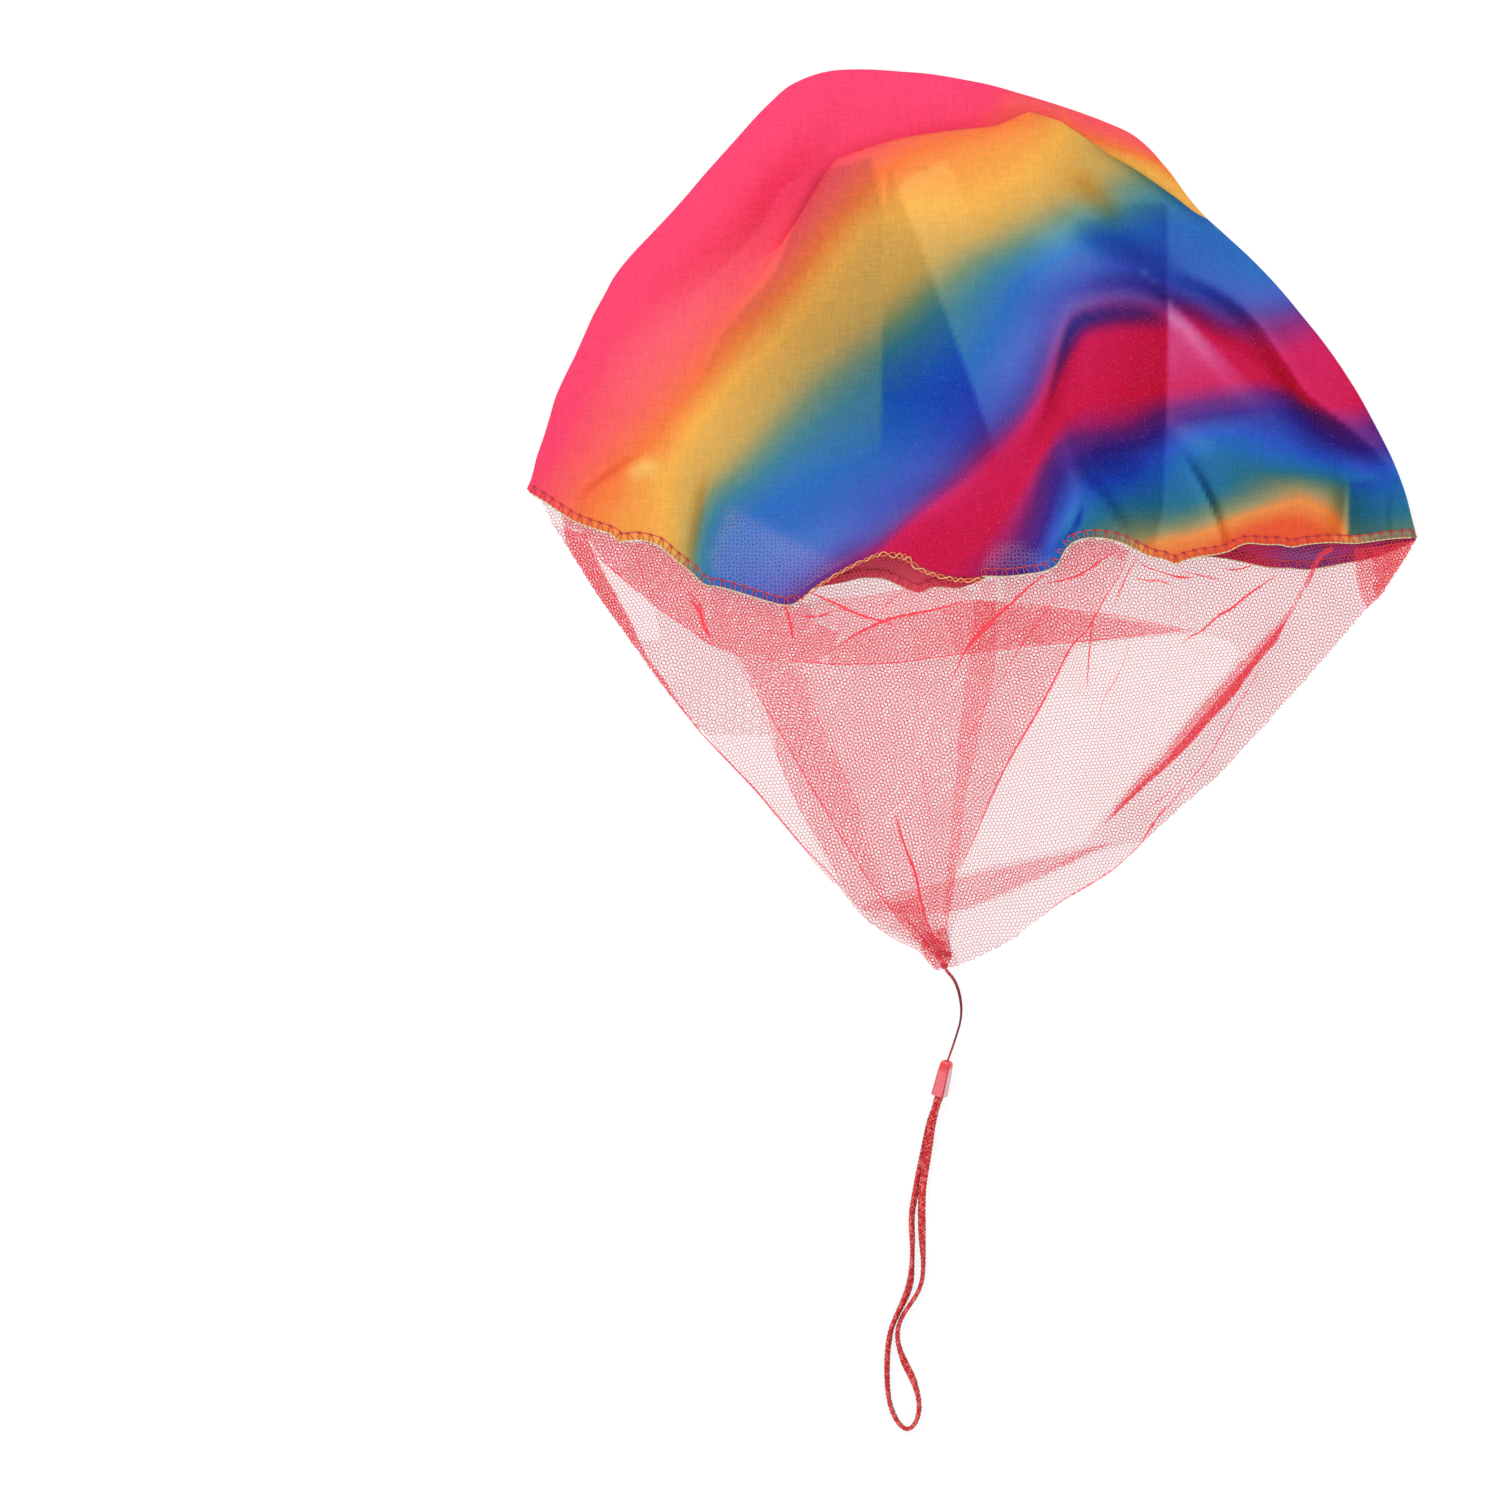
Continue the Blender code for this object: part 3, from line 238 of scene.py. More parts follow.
# Creases and drapes of the front, drawn in plan: change of tone, which is painted shade where it is negative and
# painted highlight where it is positive, change of dye, relief in millimetres, how far it reaches in millimetres to
# the left and the right of the line, and the line
DRAPES = (
    (-0.22, 0.0, 0.0, 9.0, 0.7, (700, 288, 755, 233, 779, 191, 817, 167, 860, 152, 893, 142, 924, 137, 985, 130)),
    (0.40, 0.0, 0.0, 0.7, 0.7, (985, 85, 1006, 93, 1025, 102.5, 1044, 113, 1063, 126)),
    (-0.10, -0.4, 0.0, 7.0, 0.7, (975, 83, 1006, 93, 1025, 102.5, 1044, 113, 1056, 120)),
    (-0.35, 0.0, 0.0, 0.7, 2.2, (1090, 145, 1105, 154, 1129, 167, 1153, 183, 1176, 199, 1209, 225)),
    (-0.40, 0.3, 0.0, 4.6, 4.6, (1068, 180, 1086, 192, 1104, 210, 1120, 228)),
    (-0.36, 0.0, -0.5, 5.2, 4.8, (1070, 222, 1090, 238, 1112, 248, 1138, 258, 1166, 272, 1172, 276)),
    (-0.40, 0.0, -0.4, 2.8, 2.8, (1160, 278, 1202, 291, 1230, 304, 1250, 320)),
    (0.45, 0.0, 0.0, 0.5, 0.7, (1135, 269, 1145, 277, 1154, 286)),
    (0.22, 0.0, 0.6, 7.5, 7.5, (1022, 280, 1050, 268, 1075, 262, 1095, 275)),
    (0.18, 0.0, 0.0, 8.0, 8.0, (985, 400, 1005, 370, 1030, 335, 1050, 310)),
    (-0.40, 0.40, -0.9, 1.3, 4.2, (1030, 448, 1043, 420, 1049, 401, 1055.6, 376, 1062, 351, 1068, 333, 1077.5, 323,
        1093, 318.4, 1115, 315.3, 1134, 316.3, 1152.5, 320, 1165, 326)),
    (0.30, 0.0, 2.2, 3.2, 2.6, (1000, 452, 1030, 415, 1046, 380, 1056, 345, 1066, 317, 1077, 309, 1092, 304,
        1115, 300, 1134, 300, 1152.5, 307.5, 1168, 320, 1184, 332.5, 1202.5, 354.4, 1221, 376, 1240, 395, 1262, 412)),
    (-0.34, 0.0, 0.0, 3.8, 2.6, (1080, 296, 1100, 288, 1127, 286, 1150, 292, 1184, 310, 1206, 328, 1237, 347,
        1268, 366, 1290, 388)),
    (-0.48, -0.1, -1.4, 0.8, 5.0, RIGHT_RIDGE),
    (0.32, 0.0, 1.2, 5.5, 0.9, RIGHT_RIDGE),
    (0.30, 0.1, 0.0, 6.0, 6.0, (1030, 232, 1060, 236, 1085, 215, 1135, 205)),
    (0.15, 0.0, 0.0, 8.0, 5.0, (1230, 270, 1265, 300, 1300, 335, 1335, 385, 1365, 430)),
    (-0.75, 0.0, -0.7, 1.8, 0.7, (1186, 462, 1199.4, 482.5, 1209, 501, 1216.6, 520, 1223, 538, 1226, 546)),
    (0.18, 0.0, 0.5, 0.7, 4.5, (1186, 462, 1199.4, 482.5, 1209, 501, 1216.6, 520, 1223, 538)),
    (-0.60, 0.6, -0.6, 0.9, 0.8, (1079, 508, 1078, 520, 1068, 536, 1054, 553)),
    (0.25, 0.0, 0.6, 2.0, 3.0, (1076, 492, 1074, 510, 1062, 530, 1045, 545)),
    (-0.35, 0.0, -0.4, 2.2, 1.6, (1074, 467, 1102, 495, 1118, 517, 1128, 534)),
    (-0.40, 0.3, -0.4, 1.4, 2.4, (706, 476, 701, 500, 697, 525, 690, 565)),
    (0.30, -0.3, 0.4, 3.5, 3.5, (632, 482, 638, 472, 648, 468, 655, 476)),
    (-0.25, 0.0, -0.3, 1.4, 1.4, (578, 503, 593, 486, 617, 469, 640, 455)),
    (-0.2, 0.0, 0.0, 1.2, 1.2, (1389, 490, 1388, 536)),
    (0.22, 0.0, 0.0, 8.0, 8.0, (745, 545, 790, 555, 830, 540, 870, 515)),
    (0.20, 0.0, 0.0, 4.0, 4.0, (850, 562, 900, 520, 950, 498, 985, 470)),
    (0.15, 0.0, 0.5, 2.6, 2.6, (995, 560, 1015, 515, 1036, 465, 1052, 440)),
    (0.22, 0.0, 0.4, 3.0, 3.0, (1054, 434, 1062, 452, 1072, 478, 1078, 500)),
    (-0.20, 0.0, 0.0, 8.0, 8.0, (1085, 455, 1110, 465, 1140, 480)),
    (0.30, 0.0, 0.0, 3.5, 3.5, (1166, 430, 1190, 440, 1215, 450)),
    (-0.25, 0.0, 0.0, 7.0, 7.0, (1285, 402, 1305, 430, 1330, 455, 1345, 478)),
    (-0.5, 0.0, 0.0, 1.2, 4.5, (1342, 482, 1340, 510, 1336, 545)),
    (-0.10, -0.25, 0.0, 6.0, 6.0, (1225, 470, 1275, 480, 1318, 488)),
    (0.15, 0.0, 0.8, 12.0, 12.0, (620, 420, 660, 340, 720, 265, 760, 210)),
    (-0.16, 0.0, 0.3, 8.0, 8.0, (835, 142, 765, 210, 700, 265, 645, 315)),
    (-0.22, 0.0, 0.0, 9.0, 9.0, (1070, 470, 1110, 478, 1150, 476)),
    (0.18, 0.0, 0.0, 9.0, 9.0, (870, 95, 930, 105, 985, 115)),
)
# How many of its widths a drape is followed for, and how its tone deepens, darkens and lightens the cloth: painted
# shade in its hollows and painted highlight on its ridges
DRAPE_REACH = 2.6
DRAPE_DEPTH = 0.75
DRAPE_PAINTED_SHADE = 0.36
DRAPE_PAINTED_HIGHLIGHT = 0.04
# Layers seen through the front, drawn in plan: how much deeper and lighter and how far along the dyes they make it
# at two places, and the outline
LAYERS = (
    ((0.0, -0.17, 0.0, (900, 235)), (-0.50, 0.10, -0.25, (940, 390)), (886, 190, 888, 167, 912, 232, 937, 300, 974,
        400, 881, 400, 881, 300)),
    ((-0.50, 0.10, -0.25, (930, 400)), (0.0, 0.0, 0.0, (930, 470)), (881, 400, 974, 400, 1003, 480, 950, 486, 880,
        488)),
    ((0.10, 0.03, -0.05, (925, 185)), (0.0, 0.0, 0.0, (958, 268)), (894, 196, 905, 182, 945, 163, 962, 200, 982, 256,
        930, 275, 912, 232)),
    ((0.0, -0.24, 0.0, (800, 330)), (0.0, 0.0, 0.0, (755, 450)), (815, 174, 845, 165, 870, 162, 884, 215, 881, 300,
        881, 486, 790, 510, 668, 500, 672, 455, 696, 390, 722, 335, 775, 275)),
    ((-0.24, -0.10, 0.0, (1166, 400)), (0.0, 0.0, 0.0, (1085, 400)), (1166, 206, 1165, 300, 1164, 400, 1161, 507,
        1150, 560, 1084, 560, 1084, 206)),
    ((0.42, -0.12, 0.0, (1185, 345)), (0.08, 0.0, 0.0, (1225, 430)), (1165, 300, 1190, 325, 1250, 385, 1290, 410,
        1230, 435, 1164, 435)),
    ((-0.25, -0.15, 0.35, (1352, 520)), (-0.05, -0.03, 0.1, (1390, 520)), (1349, 480, 1397, 480, 1420, 545, 1347,
        548)),
)
LAYER_EDGE = 0.0009
LAYER_MARGIN = 0.002
# Where the net can be made out through the cloth, and how gradually
NET_SEEN_EDGE = (-0.001, 0.003)
NET_SEEN = (
    (726, 505, 745, 513, 800, 542, 844, 562, 862, 556, 850, 568, 815, 590, 788, 606, 745, 596, 716, 588, 706, 560),
    (985, 550, 1010, 540, 1040, 552, 1055, 560, 1040, 572, 1000, 578, 975, 578),
)

# The net's outline below the mouth, drawn in plan
NET_LEFT_EDGE = (
    527, 489, 541.7, 502, 551.6, 523.2, 564.9, 544.8, 578.1, 564.7, 594.7, 591.2, 611.3, 614.4, 627.9, 637.6,
    649.4, 667.5, 672.6, 699, 727, 760, 760, 798, 800, 845.6, 825, 876.4, 842, 890.4, 853.3, 907.3, 867.3, 921.3,
    892.6, 936.7, 919.2, 950.7, 929, 963.4, 934.6, 970.4,
)
NET_RIGHT_EDGE = (
    1416, 539, 1404, 560, 1394.6, 574.7, 1384, 591.6, 1367, 609.5, 1346, 633.7, 1321, 663, 1289, 699, 1247, 745,
    1213.7, 780, 1186.9, 802.5, 1150, 837, 1129.5, 855.3, 1099.7, 878, 1059.5, 902.4, 1040, 918.4, 1010, 941,
    989.4, 952.2, 968.3, 962, 958.5, 965.5,
)
# Where the net is gathered across the laid width, and over which share of its length it draws together
GATHER_ACROSS_SHARE = -0.031
GATHER_SHARES = (0.88, 1.00)
NET_COLUMNS = 160
NET_LINES = 110

# The gathered end of the net, its hitch and knot
WAIST_WIDTH = 0.0042
WAIST_DEPTH = 0.0030
WAIST_LENGTH = 0.0034
WAIST_LIFT = 0.0010
FLARE_LENGTH = 0.0010
CORD_DIAMETER = 0.00055
HITCH_PITCH = 0.00105
HITCH_TURNS = 2
KNOT_DIAMETER = 0.0024
KNOT_CORD = 0.0009
CLEARANCE = 0.0004
NET_THICKNESS = 0.0006
GATHER_X = GATHER_ACROSS_SHARE * LAID_WIDTH
NET_END_Y = MOUTH_Y - NET_DROP
WAIST_AXIS_Z = WAIST_LIFT + NET_THICKNESS / 2 + WAIST_DEPTH / 2
KNOT_CENTRE = Vector((GATHER_X, NET_END_Y - CLEARANCE - KNOT_DIAMETER / 2, WAIST_AXIS_Z))

# The ferrule and its stop knot
STOP_KNOT_DIAMETER = 0.0018
STOP_KNOT_CORD = 0.0006
STOP_KNOT_GAP = 0.0003
FERRULE_LENGTH = 0.0130
FERRULE_WIDTH = 0.0047
FERRULE_DEPTH = 0.0042
FERRULE_TOP_WIDTH = 0.0039
FERRULE_TOP_DEPTH = 0.0035
FERRULE_ROUNDING = 0.0016
SOCKET_WIDTH = 0.0035
SOCKET_DEPTH = 0.0025
SOCKET_LENGTH = 0.0070
KNOT_CHAMBER_TOP = 0.0021
CORD_HOLE_DIAMETER = 0.0012
FERRULE_ROLL = math.radians(25)
FERRULE_PITCH = math.radians(15)
FERRULE_HEADING = math.radians(12.6)
FERRULE_TOP = Vector((-0.00858, -0.19058, 0.00610))
FERRULE_SIDES = 192
# The rounded top: shares of its length and of its size across
FERRULE_DOME_SHARES = (
    (0.00, 0.50), (0.04, 0.60), (0.12, 0.72), (0.25, 0.83), (0.40, 0.92), (0.60, 0.97), (0.80, 0.99), (1.00, 1.00),
)
# Rows of the body below it, as shares of its length
FERRULE_ROWS = (0.03, 0.10, 0.30, 0.55, 0.80, 0.97)
FERRULE_LIP = 0.0001
# Powers of the rounded sections: an oval is 2
OVAL = 2
DOME_SQUARENESS = 5
BODY_SQUARENESS = 12

# The strap
STRAP_LAYER_SPACING = 0.0011
STRAP_REACH = 0.0055
STRAP_POINTS = 700

# The doubled cord's middle line from the knot to the ferrule, and where its strands turn
CORD_ROUTE = (
    (-0.00885, -0.15905, 0.00271), (-0.00844, -0.15964, 0.00270), (-0.00630, -0.16226, 0.00210),
    (-0.00473, -0.16583, 0.00140), (-0.00385, -0.16986, 0.00110), (-0.00361, -0.17343, 0.00130),
    (-0.00406, -0.17742, 0.00210), (-0.00539, -0.18190, 0.00340), (-0.00676, -0.18592, 0.00480),
    (-0.00828, -0.19003, 0.00600), (-0.00838, -0.19028, 0.00604),
)
CORD_TWIST_SHARES = (0.05, 0.60)
CORD_TWIST = math.radians(64)
CORD_SPACING = CORD_DIAMETER * 1.03
CORD_POINTS = 160

# The strap's middle line outside the ferrule, down the left run and up the right one: its place in the plan drawing,
# its height in millimetres over the lift, and its tilt in degrees
STRAP_LIFT = 0.00066
STRAP_ROUTE = (
    (930.5, 1122, 1.00, 12), (926.5, 1140, 0.90, 8), (922.3, 1160, 0.85, 8), (917.0, 1184, 0.95, 38),
    (912.6, 1208, 1.15, 52), (911.6, 1222, 1.20, 56), (912.2, 1238, 1.35, 62), (912.3, 1252, 1.50, 78),
    (911.6, 1268, 1.45, 64), (910.3, 1280, 1.25, 42), (907.2, 1292, 1.20, 38), (902.0, 1304, 1.30, 52),
    (896.2, 1316, 1.40, 66), (891.4, 1328, 1.45, 68), (889.0, 1340, 1.40, 60), (887.5, 1352, 1.40, 62),
    (887.0, 1364, 1.40, 60), (887.0, 1376, 1.42, 62), (887.6, 1388, 1.45, 68), (889.2, 1400, 1.50, 78),
    (892.8, 1412, 1.50, 74), (899.0, 1423, 1.50, 80), (907.0, 1428.5, 1.50, 88), (914.5, 1423.5, 1.50, 98),
    (918.6, 1412, 1.45, 108), (918.6, 1400, 1.45, 106), (916.0, 1388, 1.40, 118), (911.5, 1376, 1.15, 142),
    (905.5, 1364, 1.15, 143), (900.7, 1352, 1.35, 120), (897.7, 1340, 1.45, 104), (898.0, 1328, 1.50, 98),
    (902.2, 1316, 1.50, 92), (910.0, 1304, 1.50, 90), (917.6, 1292, 1.50, 90), (921.8, 1280, 1.50, 92),
    (923.0, 1268, 1.50, 97), (923.0, 1256, 1.40, 112), (922.4, 1244, 1.30, 132), (921.9, 1232, 1.15, 150),
    (921.7, 1220, 1.05, 160), (921.6, 1208, 1.30, 166), (922.4, 1186, 1.80, 170), (926.0, 1162, 2.20, 170),
    (929.3, 1141, 2.45, 168), (932.0, 1122, 2.70, 165),
)

# The hem's overlocked seam: the pitch of its stitches, its threads and the part of the mouth that is turned over
STITCH_PITCH = 0.0037
NEEDLE_THREAD = 0.00038
LOOPER_THREAD = 0.00032
EDGE_THREAD = 0.00042
SEAM_LIFT = 0.0004
HEM_POINTS = 900
HEM_SPAN = (0.003, 0.994)
HEM_BAND_ROWS = 9
TURNED_HEM = (0.305, 0.512)
# Along the part that is turned over: how far the two threads swing out, and how far below the edge they lie
TURNED_SWINGS = ((0.0, 0.00040), (0.44, 0.00046), (0.52, 0.0009), (0.62, 0.0010), (0.72, 0.0006), (1.0, 0.0007))
TURNED_DROPS = ((0.0, 0.0002), (0.50, 0.0), (0.62, 0.0009), (0.75, 0.0014), (1.0, 0.0012))
TURNED_PITCH = 0.0048
TURNED_STEP = 0.0002
TURNED_THREADS = (
    ("turned_gold_thread", 0, (255, 150, 84), (255, 226, 148)),
    ("turned_coral_thread", math.pi, (238, 74, 60), (255, 148, 96)),
)

# The strap's braid: the number of yarns each way, the length of a turn, the yarn, and how far it weaves up and down
BRAID_YARNS = 4
BRAID_LAY = 0.0054
BRAID_YARN = 0.00084
BRAID_WIDTH = 0.0030
BRAID_THICKNESS = 0.0015
BRAID_WEAVE = 0.00016

# The tulle: the width of a gap, the row height as a share of it, the strands, and how far they drift
NET_CELL = 0.00133
ROW_SHARE = math.sqrt(3) / 2
NET_STRAND = 0.00016
FOLDED_STRAND = 0.00019
FOLD_LINE_STRAND = 0.00028
NET_DRIFT = 0.004
FOLD_LINE_STEP = 0.002
SQUEEZE = 0.8
# From one layer of a fold to the next the weave turns, in degrees
FOLD_LAYER_TURN = 37
# Levels just above the net's front, for its creases and for its gathered neck
CREASE_LEVEL = -0.03
NECK_LEVEL = -0.05

# The right side of the right pleat, and the tip of the low band, drawn in plan
RIGHT_PLEAT_SIDE = (
    1113.5, 816, 1125, 805, 1138, 793, 1149, 782, 1160, 773, 1174, 760, 1193, 741, 1205, 726, 1220, 711, 1235, 695,
    1245, 680, 1256, 665, 1264, 655, 1275, 644, 1281, 632, 1289, 617, 1300, 598, 1308, 585, 1316, 568, 1322, 558,
)
LOW_BAND_TIP = (
    1083.6, 848.4, 1109, 842, 1129.5, 835, 1111, 843.5, 1095, 851, 1083.6, 855.3, 1069, 864, 1051.5, 871.4, 1040, 878,
)
# Folded parts of the net, drawn in plan: levels from the front sheet at 0 to the back one at 1, the turn of the
# weave in degrees, how far it is drawn together, and the outline
NET_FOLDS = (
    ("top_fold", (0.15, 0.55), 12, SQUEEZE, (561, 512, 581, 524, 611, 535, 620, 541, 650, 542, 659, 546, 686, 568,
        702, 583, 718, 587, 747, 595, 779, 605, 795, 604, 803, 601, 811, 606, 812, 620, 839, 632, 836, 648, 828, 655,
        820, 664, 794, 662, 734, 654, 719, 649, 704, 643, 689, 630, 674, 621, 659, 609, 646, 598, 639, 593, 626, 581,
        611, 568, 598, 555, 592, 545, 580, 530, 565, 528)),
    ("tongue", (0.25, 0.65), 85, 1.0, (820, 664, 828, 654, 849, 639, 859, 633, 869, 628, 882, 622, 895, 618, 908, 615,
        939, 609, 971, 600, 995, 600, 1016, 603, 1058, 608, 1097, 614, 1142, 622, 1163, 626, 1196, 630.5, 1180, 632,
        1156, 634, 1128, 637, 1100, 640, 1072, 644, 1023, 648, 976, 653, 934, 658, 892, 663, 836, 664.5)),
    ("tongue_core", (0.35,), 30, 1.4, (940, 610, 971, 600, 1016, 603, 1058, 608, 1097, 614, 1078, 640, 1051, 645,
        1023, 648, 976, 653, 955, 655)),
    ("middle_fold", (0.62,), 40, 1.2, (734, 653, 746, 672, 759, 697, 770, 730, 779, 760, 800, 808, 810, 822, 821, 843,
        832, 864, 842, 883, 849, 897, 855, 906, 892, 930, 925, 948, 945, 948, 947, 928, 951, 911, 954, 886, 958, 869,
        964, 858, 974, 836, 986, 805, 996, 784, 1006, 763, 1027, 727, 1039, 706, 1053, 680, 1064, 657, 1072, 644,
        1023, 648, 976, 653, 892, 663, 815, 664)),
    ("middle_pleat", (0.30,), 75, 2.2, (734, 653, 759, 697, 780, 732, 798, 764, 814, 792, 827, 812, 841, 837,
        855, 858, 870, 882, 883, 899, 891, 909, 884, 890, 871, 857, 866, 838, 860, 816, 853, 795, 845, 778, 836, 759,
        828, 740, 819, 722, 808, 690, 806, 663)),
    ("long_pleat", (0.30,), 80, 0.75, (974, 600, 996, 600, 996, 652, 995, 673, 990, 693, 986, 707, 982, 726, 978, 740,
        974, 759, 970, 778, 965, 799, 962, 822, 960, 844, 957, 865, 955, 879, 952, 900, 950, 914, 947, 928, 945, 928,
        944.5, 900, 946, 879, 947, 858, 949, 836, 951.5, 812, 953.6, 788, 955.7, 760, 956, 743, 959, 722, 962, 698,
        964, 679, 967, 659, 969, 642, 972, 618)),
    ("hem_pleat", (0.20,), 50, SQUEEZE, (974, 582, 996, 579, 996, 600, 974, 600)),
    ("right_pleat", (0.15, 0.35), 50, SQUEEZE, (1331, 546, 1320, 551, 1313, 558, 1309, 568, 1302, 585, 1293, 602,
        1283, 617, 1268, 632, 1256, 644, 1241, 661, 1220, 684, 1201, 705, 1184, 724, 1172, 741, 1161, 756, 1140, 775,
        1126, 791, 1115, 805, 1108, 816, 1102, 825, 1094, 835, 1085, 847, 1095, 836, 1104, 825,
        *RIGHT_PLEAT_SIDE, 1331, 552)),
    ("right_pleat_edge", (0.10, 0.25, 0.45), 95, 0.4, (1331, 546, 1320, 553, 1314, 562, 1306, 585, 1297, 602,
        1287, 617, 1274, 632, 1262, 646, 1248, 663, 1228, 686, 1212, 704, 1194, 725, 1180, 741, 1168, 756, 1148, 775,
        1134, 789, 1120, 803, 1110, 816, *RIGHT_PLEAT_SIDE, 1333, 550)),
    ("low_band", (0.45,), 15, 0.8, (860, 906, 874, 900, 898, 891, 919, 887, 947, 879, 968, 875, 989, 869, 1010, 866,
        1040, 857.6, 1063, 853.6, *LOW_BAND_TIP, 1010, 890, 989, 899, 968, 907, 951.5, 912, 926, 914, 905, 913.6, 884,
        912, 863, 910)),
    ("low_band_edge", (0.45,), 60, SQUEEZE, (*LOW_BAND_TIP, 1046, 870, 1062, 861, 1074, 855)),
    ("right_tip_fold", (0.30, 0.60), 65, SQUEEZE, (1353, 548, 1416, 540, 1404, 560, 1394, 575, 1384, 591, 1373, 604,
        1366, 610, 1361, 600, 1356, 580)),
    ("right_tip_core", (0.20, 0.45), 20, SQUEEZE, (1372, 552, 1416, 540, 1404, 560, 1394, 575, 1384, 591, 1376, 601,
        1372, 590)),
    ("left_pleat", (0.20, 0.45, 0.70), 60, SQUEEZE, (563, 526, 569, 528, 585, 533, 595, 556, 606, 578, 618, 600,
        630, 621, 640, 643, 649, 659, 663, 677, 676, 699, 700, 728, 698, 729, 672, 699, 649, 668, 628, 638, 611, 615,
        595, 592, 578, 565, 566, 545)),
    ("gather_bunch", (0.10, 0.50), 70, 0.6, (919, 942, 926, 934, 929, 931, 935, 935, 944.5, 942, 949, 947, 951.5, 956,
        951, 961, 947, 966.5, 942, 967, 938, 962, 932, 950, 923, 946)),
    ("gather_root", (0.20, 0.60), 100, SQUEEZE, (882, 899, 893, 903, 917, 895, 925, 915, 932, 930, 944, 925, 947, 930,
        949, 947, 938, 960, 920, 946, 905, 928, 893, 912)),
    ("gather_tail", (0.30, 0.70), 30, 0.8, (919, 942, 938, 950, 944, 961, 945, 966.5, 934.6, 970.4, 929, 963,
        923, 956)),
    ("mouth_fold", (0.35,), 25, 1.0, (998, 577, 1025, 576, 1048, 571, 1058, 563, 1063, 553, 1073, 543, 1090, 539,
        1108, 540, 1129, 550, 1124, 564, 1118, 576, 1110, 588, 1102, 601, 1096, 613, 1058, 608, 1016, 603,
        1003, 601)),
    ("mouth_pleat", (0.15,), 10, SQUEEZE, (1062, 553, 1073, 543, 1090, 539, 1108, 540, 1129, 550, 1124, 563,
        1110, 558, 1090, 566, 1075, 574, 1055, 580, 1048, 571, 1058, 563)),
    ("hem_window", (0.5,), 25, 0.75, (806, 600, 862, 596, 905, 588, 950, 584, 974, 590, 971, 600, 939, 609, 908, 615,
        882, 622, 849, 639, 828, 654, 836, 648, 839, 632, 812, 620)),
)
# Where only one sheet of the net is seen, drawn in plan
THIN_AREAS = (
    (1074, 648, 1128, 640, 1196, 634, 1230, 640, 1241, 655, 1220, 680, 1184, 720, 1161, 750, 1126, 787, 1100, 820,
        1083, 844, 1040, 854, 958, 874, 974, 838, 1006, 766, 1040, 708),
    (958, 914, 990, 902, 1052, 875, 1084, 858, 1120, 845, 1140, 842, 1100, 880, 1040, 920, 960, 968, 950, 940),
    (770, 735, 780, 765, 800, 812, 842, 888, 856, 908, 800, 850, 700, 735),
    (596, 556, 612, 570, 640, 595, 655, 608, 660, 640, 640, 640, 620, 600),
    (546, 503, 562, 512, 562, 532, 552, 522),
)
